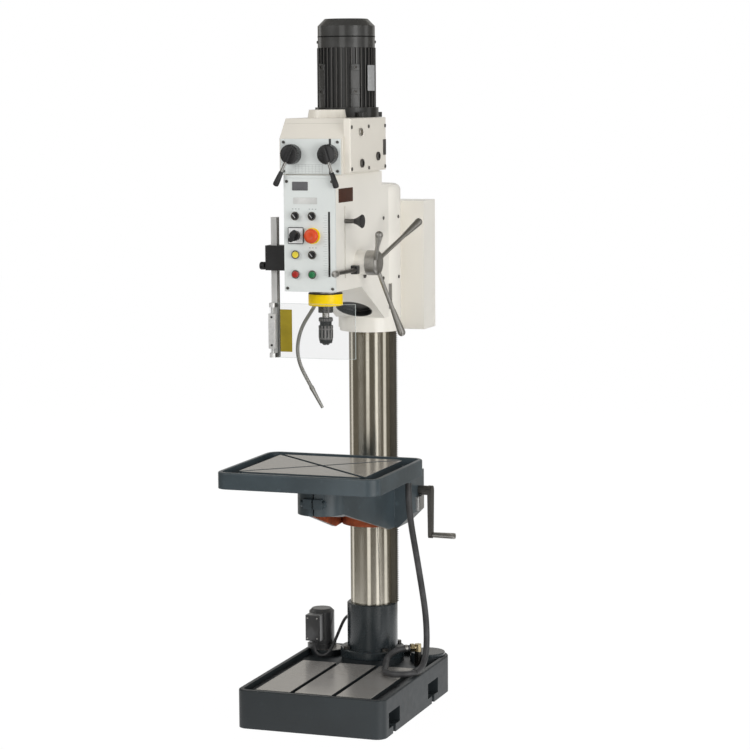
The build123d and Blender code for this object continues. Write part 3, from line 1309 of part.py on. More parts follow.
def spindle_gear():
    """Gear on the splined sleeve that turns the spindle."""
    sleeve = rod_z(DRIVE_SLEEVE_R, 0, SPINDLE_Y, HEAD_TOP + CLEAR, DRIVE_SLEEVE_TOP)
    flat = Plane((0, SPINDLE_Y, LOW_GEAR_Z))
    sleeve += gear_on(flat, SPINDLE_TEETH, DRIVE_MODULE, 90 + 180 / SPINDLE_TEETH, DRIVE_GEAR_W)
    return sleeve - rod_z(SPINDLE_R + RUN, 0, SPINDLE_Y, HEAD_TOP, DRIVE_SLEEVE_TOP)


def lay_shaft():
    """Lay shaft with a wheel that the motor turns and a pinion that turns the spindle gear."""
    y = lay_y()
    floor = HEAD_TOP + BOX_WALL
    shaft = rod_z(LAY_SHAFT_R, 0, y, floor - LAY_BEARING_D + CLEAR, BOX_TOP + LAY_BEARING_D - CLEAR)
    shaft += gear_on(Plane((0, y, LOW_GEAR_Z)), LAY_PINION_TEETH, DRIVE_MODULE, -90, DRIVE_GEAR_W)
    flat = Plane((0, y, HIGH_GEAR_Z))
    return shaft + gear_on(flat, LAY_WHEEL_TEETH, DRIVE_MODULE, 90 + 180 / LAY_WHEEL_TEETH, DRIVE_GEAR_W)


def motor_rotor():
    """Motor shaft with its pinion, rotor core and cooling fan."""
    y = motor_y()
    flange_top = BOX_TOP + COVER_T + MOTOR_FLANGE_T
    fan_low = MOTOR_TOP + ROTOR_END_GAP
    shaft = rod_z(MOTOR_SHAFT_R, 0, y, HIGH_GEAR_Z - CLEAR, fan_low + FAN_T)
    shaft += gear_on(Plane((0, y, HIGH_GEAR_Z)), MOTOR_TEETH, DRIVE_MODULE, -90, DRIVE_GEAR_W)
    core_in = MOTOR_END_T + ROTOR_END_GAP
    shaft += rod_z(ROTOR_R, 0, y, flange_top + core_in, MOTOR_TOP - core_in)
    shaft += rod_z(2 * MOTOR_SHAFT_R, 0, y, fan_low, fan_low + FAN_T)
    for k in range(FAN_BLADES):
        blade = block(MOTOR_SHAFT_R, FAN_R, -FAN_BLADE_T / 2, FAN_BLADE_T / 2, fan_low, fan_low + FAN_T)
        shaft += Pos(0, y, 0) * Rot(0, 0, 360 * k / FAN_BLADES) * blade
    return shaft


def motor_body():
    """Motor flange with lugs, finned stator housing and end shields."""
    y = motor_y()
    low = BOX_TOP + COVER_T
    flange_top = low + MOTOR_FLANGE_T
    body = rod_z(MOTOR_FLANGE_R, 0, y, low, flange_top)
    for k in range(MOTOR_LUG_COUNT):
        angle = math.radians(45 + 360 * k / MOTOR_LUG_COUNT)
        body += rod_z(MOTOR_LUG_R, MOTOR_LUG_CIRCLE * math.cos(angle), y + MOTOR_LUG_CIRCLE * math.sin(angle),
                      low, low + MOTOR_FLANGE_T / 2)
    body += rod_z(MOTOR_R, 0, y, flange_top, MOTOR_TOP)
    fin_top = MOTOR_TOP - COWL_OVERLAP - CLEAR
    for k in range(FIN_COUNT):
        fin = block(MOTOR_R - FIN_W, FIN_R, -FIN_W / 2, FIN_W / 2, flange_top, fin_top)
        body += Pos(0, y, 0) * Rot(0, 0, 360 * k / FIN_COUNT) * fin
    body -= rod_z(STATOR_BORE_R, 0, y, flange_top + MOTOR_END_T, MOTOR_TOP - MOTOR_END_T)
    body -= rod_z(MOTOR_SHAFT_R + RUN, 0, y, low, MOTOR_TOP)
    return body - pinion_hole(low, flange_top)


def motor_cowl():
    """Fan cowl with a chamfered top edge and radial air slots."""
    y = motor_y()
    low = MOTOR_TOP - COWL_OVERLAP
    inner_r = MOTOR_R + SEAT
    shell = rod_z(inner_r + COWL_WALL, 0, y, low, COWL_TOP)
    shell = chamfer(shell.edges().group_by(Axis.Z)[-1], COWL_CHAMFER)
    inner = rod_z(inner_r, 0, y, low, COWL_TOP - COWL_WALL)
    shell -= chamfer(inner.edges().group_by(Axis.Z)[-1], COWL_CHAMFER)
    for k in range(COWL_SLOTS):
        slot = block(COWL_SLOT_INNER, COWL_SLOT_OUTER, -COWL_SLOT_W / 2, COWL_SLOT_W / 2,
                     COWL_TOP - 2 * COWL_WALL, COWL_TOP)
        shell -= Pos(0, y, 0) * Rot(0, 0, 360 * k / COWL_SLOTS) * slot
    return shell


def knuckle_x():
    """Side place of the door's hinge axis, just outside the cabinet's left wall."""
    return -CABINET_W / 2 - KNUCKLE_R - CLEAR


def knuckle_lows():
    """Heights at which the two lift-off hinges begin."""
    return CABINET_BOTTOM + KNUCKLE_INSET, CABINET_TOP - KNUCKLE_INSET - 2 * KNUCKLE_L


def cabinet_box():
    """Sheet-metal electrical cabinet behind the head, open at the rear, with the hinges' lower halves."""
    half = CABINET_W / 2
    rear = CABINET_REAR - DOOR_T - CLEAR
    box = block(-half, half, HEAD_PAD_Y, rear, CABINET_BOTTOM, CABINET_TOP)
    box -= block(-half + CABINET_WALL, half - CABINET_WALL, HEAD_PAD_Y + CABINET_WALL, rear,
                 CABINET_BOTTOM + CABINET_WALL, CABINET_TOP - CABINET_WALL)
    x = knuckle_x()
    y = CABINET_REAR - DOOR_T
    for low in knuckle_lows():
        high = low + KNUCKLE_L
        box += block(x, -half, rear - KNUCKLE_LEAF, rear, low, high) + rod_z(KNUCKLE_R, x, y, low, high)
        box += rod_z(KNUCKLE_PIN_R, x, y, high, high + KNUCKLE_L)
    return box


def cabinet_door():
    """Folded door that closes the cabinet from behind, with a round latch and the hinges' upper halves."""
    half = CABINET_W / 2
    front = CABINET_REAR - DOOR_T
    door = block(-half, half, front, CABINET_REAR, CABINET_BOTTOM, CABINET_TOP)
    door -= block(-half + CABINET_WALL, half - CABINET_WALL, front, CABINET_REAR - CABINET_WALL,
                  CABINET_BOTTOM + CABINET_WALL, CABINET_TOP - CABINET_WALL)
    latch_x = half - 3 * DOOR_LATCH_R
    middle = (CABINET_BOTTOM + CABINET_TOP) / 2
    door += rod_y(DOOR_LATCH_R, latch_x, CABINET_REAR, CABINET_REAR + DOOR_LATCH_T, middle)
    x = knuckle_x()
    for low in knuckle_lows():
        begin = low + KNUCKLE_L + CLEAR
        end = low + 2 * KNUCKLE_L
        door += block(x, -half, front, front + KNUCKLE_LEAF, begin, end)
        door += rod_z(KNUCKLE_R, x, front, begin, end)
        door -= rod_z(KNUCKLE_PIN_R + RUN, x, front, begin, end)
    return door


def guard_bracket():
    """Black bracket on the head's left side, with a clamp knob for the guard's post."""
    half = POST_W / 2 + CLEAR
    left = GUARD_X - half - BRACKET_LEFT
    body = block(left, -HEAD_W / 2, GUARD_Y - BRACKET_DEPTH / 2, GUARD_Y + BRACKET_DEPTH / 2,
                 BRACKET_BOTTOM, BRACKET_TOP)
    body -= block(GUARD_X - half, GUARD_X + half, GUARD_Y - half, GUARD_Y + half, BRACKET_BOTTOM, BRACKET_TOP)
    knob_z = BRACKET_BOTTOM + GUARD_KNOB_R
    knob_right = left - GUARD_KNOB_L / 2
    stem = rod_x(GUARD_KNOB_R / 2, knob_right, left, GUARD_Y, knob_z)
    knob = rod_x(GUARD_KNOB_R, knob_right - GUARD_KNOB_L, knob_right, GUARD_Y, knob_z)
    return body + stem + fillet(knob.edges(), GUARD_KNOB_R / 3)


def hinge_y():
    """Guard hinge's place in front of its post."""
    return GUARD_Y - HINGE_OUT


def guard_post():
    """Grooved aluminium post with two lugs and the guard's hinge pin."""
    half = POST_W / 2
    post = block(GUARD_X - half, GUARD_X + half, GUARD_Y - half, GUARD_Y + half, POST_BOTTOM, POST_TOP)
    for side in (-1, 1):
        groove = block(-POST_GROOVE_W / 2, POST_GROOVE_W / 2, half - POST_GROOVE_D, half,
                       POST_BOTTOM, POST_TOP)
        post -= Pos(GUARD_X, GUARD_Y, 0) * Rot(0, 0, 90 * side) * groove
    for low in (SHIELD_BOTTOM, SHIELD_TOP - HINGE_LUG_T):
        lug = block(GUARD_X - half, GUARD_X + half, hinge_y(), GUARD_Y - half, low, low + HINGE_LUG_T)
        post += lug + rod_z(half, GUARD_X, hinge_y(), low, low + HINGE_LUG_T)
    return post + rod_z(HINGE_PIN_R, GUARD_X, hinge_y(), SHIELD_BOTTOM, SHIELD_TOP)


def guard_shield():
    """Clear shield on a hinge sleeve in front of the chuck, with its free end bent back."""
    low = SHIELD_BOTTOM + HINGE_LUG_T + CLEAR
    high = SHIELD_TOP - HINGE_LUG_T - CLEAR
    y = hinge_y()
    half = SHIELD_T / 2
    edge = GUARD_X + POST_W / 2 + SHIELD_T
    bend = SHIELD_BEND
    sheet = block(edge, bend, y - half, y + half, SHIELD_BOTTOM, SHIELD_TOP)
    right, rear = SHIELD_RIGHT, SHIELD_REAR
    wing = [(bend, y - half), (right, rear - half), (right, rear + half), (bend, y + half)]
    sheet += slab_z(wing, SHIELD_BOTTOM, SHIELD_TOP)
    sheet += block(GUARD_X, edge, y - half, y + half, low, high)
    sheet += rod_z(HINGE_SLEEVE_R, GUARD_X, y, low, high)
    return sheet - rod_z(HINGE_PIN_R + RUN, GUARD_X, y, low, high)


def coolant_gooseneck():
    """Grey gooseneck under the head, ending in a tapered nozzle."""
    points = [(NECK_X, NECK_Y, HEAD_BOTTOM)] + NECK_ROUTE
    tube = cord("coolant_gooseneck", points, NECK_TUBE_R)
    path = cord_path(points)[0]
    end = Plane(path @ 1, z_dir=path % 1)
    return tube + cone_on(end, NOZZLE_R, NOZZLE_TIP_R, 0, NOZZLE_L)


nodes = {
    "base": base(),
    "tank_lid": tank_lid(),
    "column_foot": column_foot(),
    "column": column(),
    "rack": rack(),
    "arm": arm(),
    "arm_clamp_lever": arm_clamp_lever(),
    "lift_pinion": lift_pinion(),
    "crank": crank(),
    "crank_grip": crank_grip(),
    "table": table(),
    "coolant_pump": coolant_pump(),
    "cable_glands": cable_glands(),
    "pump_cable": pump_cable(),
    "drain_fitting": drain_fitting(),
    "head_casting": head_casting(),
    "work_lamp": work_lamp(),
    "quill": quill(),
    "quill_collar": quill_collar(),
    "spindle_bearings": spindle_bearings(),
    "spindle": spindle(),
    "drill_chuck": drill_chuck(),
    "feed_shaft": feed_shaft(),
    "feed_hub": feed_hub(),
    "feed_levers": feed_levers(),
    "depth_stop": depth_stop(),
    "feed_clutch_lever": feed_clutch_lever(),
    "front_panel": front_panel(),
    "control_bezels": control_bezels(),
    "pilot_lamp": pilot_lamp(),
    "isolator_knob": isolator_knob(),
    "estop_ring": estop_ring(),
    "estop_button": estop_button(),
    "gearbox_housing": gearbox_housing(),
    "gearbox_cover": gearbox_cover(),
    "gearbox_side_cover": gearbox_side_cover(),
    "spindle_cap": spindle_cap(),
    "oil_fittings": oil_fittings(),
    "fasteners": fasteners(),
    "speed_selector_left": speed_selector(-SPEED_X, SPEED_LEFT_DEG),
    "speed_selector_right": speed_selector(SPEED_X, SPEED_RIGHT_DEG),
    "spindle_gear": spindle_gear(),
    "lay_shaft": lay_shaft(),
    "motor_rotor": motor_rotor(),
    "motor_body": motor_body(),
    "motor_cowl": motor_cowl(),
    "cabinet_box": cabinet_box(),
    "cabinet_door": cabinet_door(),
    "guard_bracket": guard_bracket(),
    "guard_post": guard_post(),
    "guard_shield": guard_shield(),
    "coolant_gooseneck": coolant_gooseneck(),
}
for stretch_name, stretch in zip(("drain_hose_top", "drain_hose_middle", "drain_hose_lower"), hose_parts()):
    nodes[stretch_name] = cord(stretch_name, stretch, HOSE_R)
for place_name, (place_x, place_z) in selector_places().items():
    nodes[place_name] = selector(place_x, place_z, CAP_R, CAP_L, HEAD_FRONT - PANEL_T)
for place_name, (place_x, place_z) in push_places().items():
    nodes[place_name] = push_button(place_x, place_z)

for node_name, shape in nodes.items():
    export_step(shape, f"parts/{node_name}.step")
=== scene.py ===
import math

import bpy
import numpy as np
from mathutils import Matrix, Vector


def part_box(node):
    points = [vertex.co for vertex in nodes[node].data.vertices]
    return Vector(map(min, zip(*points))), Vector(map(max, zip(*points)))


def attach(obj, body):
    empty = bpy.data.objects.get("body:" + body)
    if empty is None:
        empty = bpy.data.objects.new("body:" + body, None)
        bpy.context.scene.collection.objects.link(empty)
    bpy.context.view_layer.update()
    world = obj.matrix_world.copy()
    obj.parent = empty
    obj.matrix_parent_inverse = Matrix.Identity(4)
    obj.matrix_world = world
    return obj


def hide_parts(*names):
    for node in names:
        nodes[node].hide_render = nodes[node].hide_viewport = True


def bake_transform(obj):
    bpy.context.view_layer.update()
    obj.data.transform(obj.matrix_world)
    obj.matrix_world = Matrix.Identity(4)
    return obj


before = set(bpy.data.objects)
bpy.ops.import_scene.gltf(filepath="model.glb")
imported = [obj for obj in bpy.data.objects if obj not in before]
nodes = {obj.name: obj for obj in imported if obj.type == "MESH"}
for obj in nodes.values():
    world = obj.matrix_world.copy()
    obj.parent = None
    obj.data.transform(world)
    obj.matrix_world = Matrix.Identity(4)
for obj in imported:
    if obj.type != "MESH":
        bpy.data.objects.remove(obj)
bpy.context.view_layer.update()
scene = bpy.context.scene


# Studio: a white floor and world with soft lamps. The camera stands seven metres off behind a long
# lens, and a ring of bright strips and dark flats under a dark ceiling shows only in reflections.
class Field:
    """A value or colour on a surface: one socket of a node tree, with sums that add Math nodes."""

    def __init__(self, tree, socket=None):
        self.tree = tree
        self.socket = socket

    def add(self, kind, settings, sockets, out):
        """A node of a type: its settings first, then values or links for its sockets; one output."""
        made = self.tree.nodes.new(kind)
        for key, value in settings.items():
            setattr(made, key, value)
        for key, value in sockets.items():
            if isinstance(value, Field):
                self.tree.links.new(value.socket, made.inputs[key])
            else:
                made.inputs[key].default_value = value
        return Field(self.tree, made.outputs[out])

    def other(self, out):
        """Another output of the same node."""
        return Field(self.tree, self.socket.node.outputs[out])

    def math(self, operation, *values):
        """A Math node that works on numbers or other values."""
        return self.add("ShaderNodeMath", {"operation": operation}, dict(enumerate(values)), 0)

    def __add__(self, other):
        return self.math("ADD", self, other)

    def __sub__(self, other):
        return self.math("SUBTRACT", self, other)

    def __rsub__(self, other):
        return self.math("SUBTRACT", other, self)

    def __mul__(self, other):
        return self.math("MULTIPLY", self, other)

    def __abs__(self):
        return self.math("ABSOLUTE", self)

    __radd__ = __add__
    __rmul__ = __mul__

    def greatest(self, *others):
        """The greatest of this and other values."""
        most = self
        for other in others:
            most = self.math("MAXIMUM", most, other)
        return most

    def reach(self, other):
        """The distance that this goes along one axis and another value along a second one."""
        return self.math("SQRT", self * self + other * other)

    def rises(self, low, high):
        """0 below low and 1 above high, with a smooth rise between them."""
        return self.add("ShaderNodeMapRange", {"interpolation_type": "SMOOTHSTEP"},
                        {"Value": self, "From Min": low, "From Max": high}, "Result")

    def within(self, low, high, soft):
        """1 between low and high, 0 outside, with soft edges."""
        return self.rises(low - soft, low + soft) * (1 - self.rises(high - soft, high + soft))

    def nearer(self, half, soft):
        """1 where this is nearer 0 than half a width, 0 farther off, with a soft edge."""
        return 1 - abs(self).rises(half - soft, half + soft)


CAMERA_PLACE = (2.3835, -6.6698, 1.7832)
CAMERA_TURN = (math.radians(19.566), math.radians(6.727), math.radians(-0.384))
SENSOR_MM = 36
LENS_MM = 116.14
AMBIENT = 0.50
FLOOR_HALF, FLOOR_Z = 14, -0.0005
FLOOR_GREY, FLOOR_ROUGH = (0.6, 0.6, 0.6, 1), 0.9
FLOOR_WHITE, FLOOR_GLOW = 1.02, 0.97
RING_R, RING_LOW, RING_HIGH, RING_SIDES = 1.1, -0.2, 2.8, 96
CEILING_EYE, CEILING_FADE = 0.02, 0.01
FLAT_GLOW, STRIP_WHITE, STRIP_SOFT = (0.13, 0.12, 0.10, 1), (1, 0.99, 0.96, 1), 0.04
STRIPS = ((2.80, 3.36, 0.70), (-1.66, -1.37, 0.95), (-0.84, -0.60, 0.85), (-0.05, 0.27, 0.80),
          (0.95, 1.45, 0.35), (1.45, 2.60, 0.25))
LAMPS = (("key_lamp", (-3.6, -4.6, 3.4), 3.0, 112), ("fill_lamp", (4.5, -3.1, 1.0), 3.2, 185),
         ("top_lamp", (0.2, -0.6, 5.2), 3.0, 18), ("back_lamp", (-1.0, 5.0, 3.6), 3.0, 90))
LAMP_AIM = Vector((0, -0.2, 1.0))

scene.view_settings.view_transform = "Standard"
camera_data = bpy.data.cameras.new("camera")
camera_data.sensor_width = SENSOR_MM
camera_data.lens = LENS_MM
camera = bpy.data.objects.new("camera", camera_data)
yaw, pitch, roll = CAMERA_TURN
camera.matrix_world = (Matrix.Translation(CAMERA_PLACE) @ Matrix.Rotation(yaw, 4, "Z")
                       @ Matrix.Rotation(math.pi / 2 - pitch, 4, "X") @ Matrix.Rotation(roll, 4, "Z"))
scene.collection.objects.link(camera)
scene.camera = camera

scene.world = bpy.data.worlds.new("studio")
scene.world.use_nodes = True
world_tree = scene.world.node_tree
ray = Field(world_tree).add("ShaderNodeLightPath", {}, {}, "Is Camera Ray")
seen = ray.greatest(ray.other("Is Glossy Ray"), ray.other("Is Transmission Ray"))
sky = world_tree.nodes["Background"]
sky.inputs["Color"].default_value = (1, 1, 1, 1)
world_tree.links.new((AMBIENT + (1 - AMBIENT) * seen).socket, sky.inputs["Strength"])

for lamp_name, lamp_place, lamp_size, lamp_watts in LAMPS:
    lamp_data = bpy.data.lights.new(lamp_name, "AREA")
    lamp_data.size = lamp_size
    lamp_data.energy = lamp_watts
    lamp = bpy.data.objects.new(lamp_name, lamp_data)
    lamp.location = lamp_place
    lamp.rotation_euler = (LAMP_AIM - Vector(lamp_place)).to_track_quat("-Z", "Y").to_euler()
    lamp.visible_camera = False
    scene.collection.objects.link(lamp)


SHARP_ANGLE = math.radians(32)


def surface(name, grid, wrap=True, start_cap=False, end_cap=False):
    """A mesh over a grid of points, rows by columns: quads between neighbours, each row closed into
    a ring where wrap is set, and an end row filled by one face where a cap is asked for. Edges that
    turn by more than a sharp angle stay crisp."""
    rows, columns = grid.shape[:2]
    index = np.arange(rows * columns).reshape(rows, columns)
    ahead = np.roll(index, -1, 1) if wrap else index[:, 1:]
    here = index if wrap else index[:, :-1]
    quads = np.stack([here[:-1], ahead[:-1], ahead[1:], here[1:]], -1).reshape(-1, 4)
    faces = quads.tolist()
    if start_cap:
        faces.append(index[0][::-1].tolist())
    if end_cap:
        faces.append(index[-1].tolist())
    mesh = bpy.data.meshes.new(name)
    mesh.from_pydata(grid.reshape(-1, 3).tolist(), [], faces)
    mesh.shade_smooth()
    mesh.set_sharp_from_angle(angle=SHARP_ANGLE)
    made = bpy.data.objects.new(name, mesh)
    scene.collection.objects.link(made)
    return made


def wear(piece, material):
    """Gives a piece its one material."""
    piece.data.materials.clear()
    piece.data.materials.append(material)


floor_row = np.linspace(-FLOOR_HALF, FLOOR_HALF, 2)
floor_x, floor_y = np.meshgrid(floor_row, floor_row)
floor = surface("floor", np.stack([floor_x, floor_y, np.full_like(floor_x, FLOOR_Z)], -1), wrap=False)
floor_paint = bpy.data.materials.new("floor_white")
floor_paint.use_nodes = True
floor_tree = floor_paint.node_tree
floor_shader = floor_tree.nodes["Principled BSDF"]
floor_shader.inputs["Base Color"].default_value = FLOOR_GREY
floor_shader.inputs["Roughness"].default_value = FLOOR_ROUGH
floor_ray = Field(floor_tree).add("ShaderNodeLightPath", {}, {}, "Is Camera Ray")
looked_at = floor_ray.greatest(floor_ray.other("Is Glossy Ray"))
glow = looked_at.add("ShaderNodeEmission", {}, {"Color": (1, 1, 1, 1), "Strength": FLOOR_WHITE}, 0)
lit = Field(floor_tree, floor_shader.outputs["BSDF"])
both = lit.add("ShaderNodeMixShader", {}, {0: looked_at * FLOOR_GLOW, 1: lit, 2: glow}, 0)
floor_tree.links.new(both.socket, floor_tree.nodes["Material Output"].inputs["Surface"])
wear(floor, floor_paint)

ring_turn = np.linspace(0, 2 * math.pi, RING_SIDES, endpoint=False)
ring_rows = [np.stack([radius * np.cos(ring_turn), radius * np.sin(ring_turn), np.full(RING_SIDES, z)], -1)
             for radius, z in ((RING_R, RING_LOW), (RING_R, RING_HIGH), (CEILING_EYE, RING_HIGH))]
ring = surface("strip_ring", np.stack(ring_rows))
ring_look = bpy.data.materials.new("strips_and_flats")
ring_look.use_nodes = True
ring_tree = ring_look.node_tree
spot = Field(ring_tree).add("ShaderNodeTexCoord", {}, {}, "Object")
spot = spot.add("ShaderNodeSeparateXYZ", {}, {0: spot}, "X")
azimuth = spot.math("ARCTAN2", spot.other("Y"), spot)
strip = 0.0
for strip_from, strip_to, strip_glow in STRIPS:
    strip = strip_glow * azimuth.within(strip_from, strip_to, STRIP_SOFT) + strip
strip = strip * (1 - spot.other("Z").rises(RING_HIGH - 2 * CEILING_FADE, RING_HIGH - CEILING_FADE))
level = spot.add("ShaderNodeMix", {"data_type": "RGBA"}, {0: strip, 6: FLAT_GLOW, 7: STRIP_WHITE}, 2)
ring_glow = spot.add("ShaderNodeEmission", {}, {"Color": level, "Strength": 1.0}, 0)
ring_tree.links.new(ring_glow.socket, ring_tree.nodes["Material Output"].inputs["Surface"])
wear(ring, ring_look)
for way in ("camera", "diffuse", "transmission", "volume_scatter", "shadow"):
    setattr(ring, "visible_" + way, False)


# Base: a grey iron casting that is also the coolant tank, in dark blue-grey paint with a soft
# gloss. Its pad is milled bare between the rim's gutters, and two T-slots run through it.
def new_material(name):
    """An empty material: the material, its surface shader and the place on the piece as a Field."""
    made = bpy.data.materials.new(name)
    made.use_nodes = True
    place = Field(made.node_tree).add("ShaderNodeTexCoord", {}, {}, "Object")
    return made, made.node_tree.nodes["Principled BSDF"], place


def dress(shader, sockets):
    """Sets or links the shader's sockets."""
    for key, value in sockets.items():
        if isinstance(value, Field):
            value.tree.links.new(value.socket, shader.inputs[key])
        else:
            shader.inputs[key].default_value = value


def coloured(rgb, share=1.0):
    """A colour, lighter or darker by a share."""
    return tuple(c * share for c in rgb) + (1.0,)


def mix(mask, low, high):
    """A colour that goes from low to high with the mask."""
    return mask.add("ShaderNodeMix", {"data_type": "RGBA"}, {0: mask, 6: low, 7: high}, 2)


def cloud(place, scale, stretch=(1, 1, 1), detail=3):
    """Soft noise of a number of blotches to the metre, stretched along an axis where asked."""
    spread = place.add("ShaderNodeVectorMath", {"operation": "MULTIPLY"}, {0: place, 1: stretch}, 0)
    return place.add("ShaderNodeTexNoise", {}, {"Vector": spread, "Scale": scale, "Detail": detail}, 0)


def axes(place):
    """The three coordinates of the place."""
    x = place.add("ShaderNodeSeparateXYZ", {}, {0: place}, "X")
    return x, x.other("Y"), x.other("Z")


def relief(height, depth, edge=0.0):
    """A bump of a depth in metres, on a surface whose edges are eased by a radius."""
    sockets = {"Height": height, "Distance": depth, "Strength": 1.0}
    if edge:
        sockets["Normal"] = height.add("ShaderNodeBevel", {"samples": 4}, {"Radius": edge}, 0)
    return height.add("ShaderNodeBump", {}, sockets, 0)


CAST_BLUE = (0.019, 0.026, 0.030)
MILLED = (0.50, 0.48, 0.45)
OIL_SMEAR = (0.40, 0.37, 0.32)
PRIMER = (0.42, 0.085, 0.02)
CAST_EDGE = 0.0022


def cast_iron(name, tone, dull, coat, peel, bare=None, primer=None):
    """Dark paint on cast iron in a lighter or darker tone, as painted light and shade: slow cloudiness, a
    peel of some depth, dust in the gloss; milled metal where the bare mask is 1 and red primer where
    the primer mask is 1."""
    made, shader, place = new_material(name)
    slow = cloud(place, 5)
    fine = cloud(place, 260)
    dust = cloud(place, 45, detail=6)
    colour = mix(slow.rises(0.3, 0.75), coloured(CAST_BLUE, 0.82 * tone), coloured(CAST_BLUE, 1.25 * tone))
    colour = mix(dust.rises(0.60, 0.80) * 0.25, colour, coloured(CAST_BLUE, 3.2 * tone))
    rough = dull + 0.16 * dust
    metal = 0.0
    height = fine
    if primer is not None:
        mask = primer(place)
        blotch = cloud(place, 30, detail=5)
        red = mix(blotch.rises(0.35, 0.7), coloured(PRIMER, 0.55), coloured(PRIMER, 1.25))
        colour = mix(mask, colour, red)
        rough = rough + 0.35 * mask
    if bare is not None:
        mask = bare(place)
        cut = cloud(place, 30, (1, 26, 1), 4)
        smear = cloud(place, 7, (1, 2, 1), 3)
        bright = mix(cut.rises(0.3, 0.7), coloured(MILLED, 0.96), coloured(MILLED, 1.04))
        bright = mix(smear.rises(0.45, 0.80) * 0.25, bright, coloured(OIL_SMEAR))
        colour = mix(mask, colour, bright)
        rough = rough * (1 - mask) + (0.13 + 0.10 * smear) * mask
        metal = 0.55 * mask
        height = fine * (1 - mask) + 0.02 * cut * mask
    dress(shader, {"Base Color": colour, "Roughness": rough, "Metallic": metal, "Coat Weight": coat,
                   "Coat Roughness": 0.20, "Normal": relief(height, peel, CAST_EDGE)})
    return made


BASE_PAD_TOP = 0.107
BASE_PAD_HALF = 0.1725
BASE_PAD_FRONT, BASE_PAD_REAR = -0.502, -0.129
BASE_TOP = 0.110
CORNER_X, CORNER_Y, CORNER_R = 0.160, 0.040, 0.046
MILL_SOFT, MILL_BELOW, MILL_ABOVE, MILL_FADE = 0.0005, 0.0006, 0.002, 0.0002


def milled_top(z, top):
    """1 at the height of a milled top and 0 below it in the gutters and slots."""
    return z.within(top - MILL_BELOW, top + MILL_ABOVE, MILL_FADE)


def base_pad(place):
    """1 on the top of the base's pad and on the tops of its round corner bosses."""
    x, y, z = axes(place)
    flat = x.nearer(BASE_PAD_HALF, MILL_SOFT) * y.within(BASE_PAD_FRONT, BASE_PAD_REAR, MILL_SOFT)
    pad = flat * milled_top(z, BASE_PAD_TOP)
    across, along = abs(x) - CORNER_X, y - CORNER_Y
    boss = (CORNER_R - across.reach(along)).rises(0, 2 * MILL_FADE)
    return pad + boss * z.rises(BASE_TOP - MILL_BELOW, BASE_TOP - MILL_BELOW / 2)


# The base wears the paint in a darker tone than the table and arm, as painted shade.
wear(nodes["base"], cast_iron("base_paint_shaded", tone=0.75, dull=0.42, coat=0.03, peel=0.00018, bare=base_pad))
foot_paint = cast_iron("foot_paint", tone=1.0, dull=0.18, coat=0.40, peel=0.00001)
for foot_node in ("column_foot", "tank_lid"):
    wear(nodes[foot_node], foot_paint)


# Column: a drawn steel tube, ground round and left bare. The grinding lines run round it, so it
# mirrors the strips of the studio as long upright streaks. The rack beside it is a cut bar, dark
# with oil.
GROUND = (0.76, 0.72, 0.63)
RACK_STEEL = (0.115, 0.105, 0.085)


def ground_steel(name, colour, rough, grain, lines=(1, 1, 1), metal=1.0, shade=None):
    """Bare steel with fine tool lines along one direction and a thin, patchy film of oil, or satin
    metal paint where metal is less than 1, with a second colour where a shade's mask is 1."""
    made, shader, place = new_material(name)
    line = cloud(place, grain, lines, 4)
    film = cloud(place, 14, detail=4)
    tone = mix(line.rises(0.3, 0.7), coloured(colour, 0.90), coloured(colour, 1.06))
    tone = mix(film.rises(0.5, 0.8) * 0.3, tone, coloured(colour, 0.72))
    if shade is not None:
        tone = mix(shade[0](place), tone, coloured(shade[1]))
    dress(shader, {"Base Color": tone, "Metallic": metal, "Roughness": rough + 0.10 * film - 0.04 * line,
                   "Normal": relief(line, 0.00002)})
    return made


column_steel = ground_steel("column_steel", GROUND, rough=0.14, grain=60, lines=(1, 1, 30))
dress(column_steel.node_tree.nodes["Principled BSDF"], {"Anisotropic": 1.0, "Anisotropic Rotation": 0.25})
wear(nodes["column"], column_steel)
rack_steel = ground_steel("rack_steel", RACK_STEEL, rough=0.38, grain=80, lines=(1, 1, 4), metal=0.6)
wear(nodes["rack"], rack_steel)


# Table and arm: two castings in the same dark paint. The table's top is milled with two crossed
# T-slots inside a gutter and rim, and the arm's hollow underside shows its red primer.
TABLE_PAD_TOP = 0.740
TABLE_PAD_X, TABLE_PAD_Y = 0.1855, 0.1635
TABLE_MIDDLE = -0.415
ARM_COLLAR_R, ARM_BOSS_R, ARM_WALL = 0.096, 0.068, 0.012
ARM_CEILING = 0.684
COLLAR_FROM, COLLAR_TO = 0.0875, 0.0880
BOSS_FROM, BOSS_TO = 0.0648, 0.0653
PRIMER_IN, PRIMER_SOFT = 0.7 * ARM_WALL, 0.001


def table_pad(place):
    """1 on the table's milled top."""
    x, y, z = axes(place)
    flat = x.nearer(TABLE_PAD_X, MILL_SOFT) * (y - TABLE_MIDDLE).nearer(TABLE_PAD_Y, MILL_SOFT)
    return flat * milled_top(z, TABLE_PAD_TOP)


def arm_hollow(place):
    """1 inside the arm: nearer its middle line than the walls, which close in from collar to boss,
    outside both sleeves and below the top plate's outer face."""
    x, y, z = axes(place)
    share = y * (1 / TABLE_MIDDLE)
    wall = (ARM_COLLAR_R - PRIMER_IN) + share * (ARM_BOSS_R - ARM_COLLAR_R)
    inside = (wall - abs(x)).rises(0, PRIMER_SOFT)
    collar = x.reach(y).rises(COLLAR_FROM, COLLAR_TO)
    boss = x.reach(y - TABLE_MIDDLE).rises(BOSS_FROM, BOSS_TO)
    room = inside * collar * boss * y.within(TABLE_MIDDLE, 0, PRIMER_SOFT)
    return room * (1 - z.rises(ARM_CEILING, ARM_CEILING + 2 * PRIMER_SOFT))
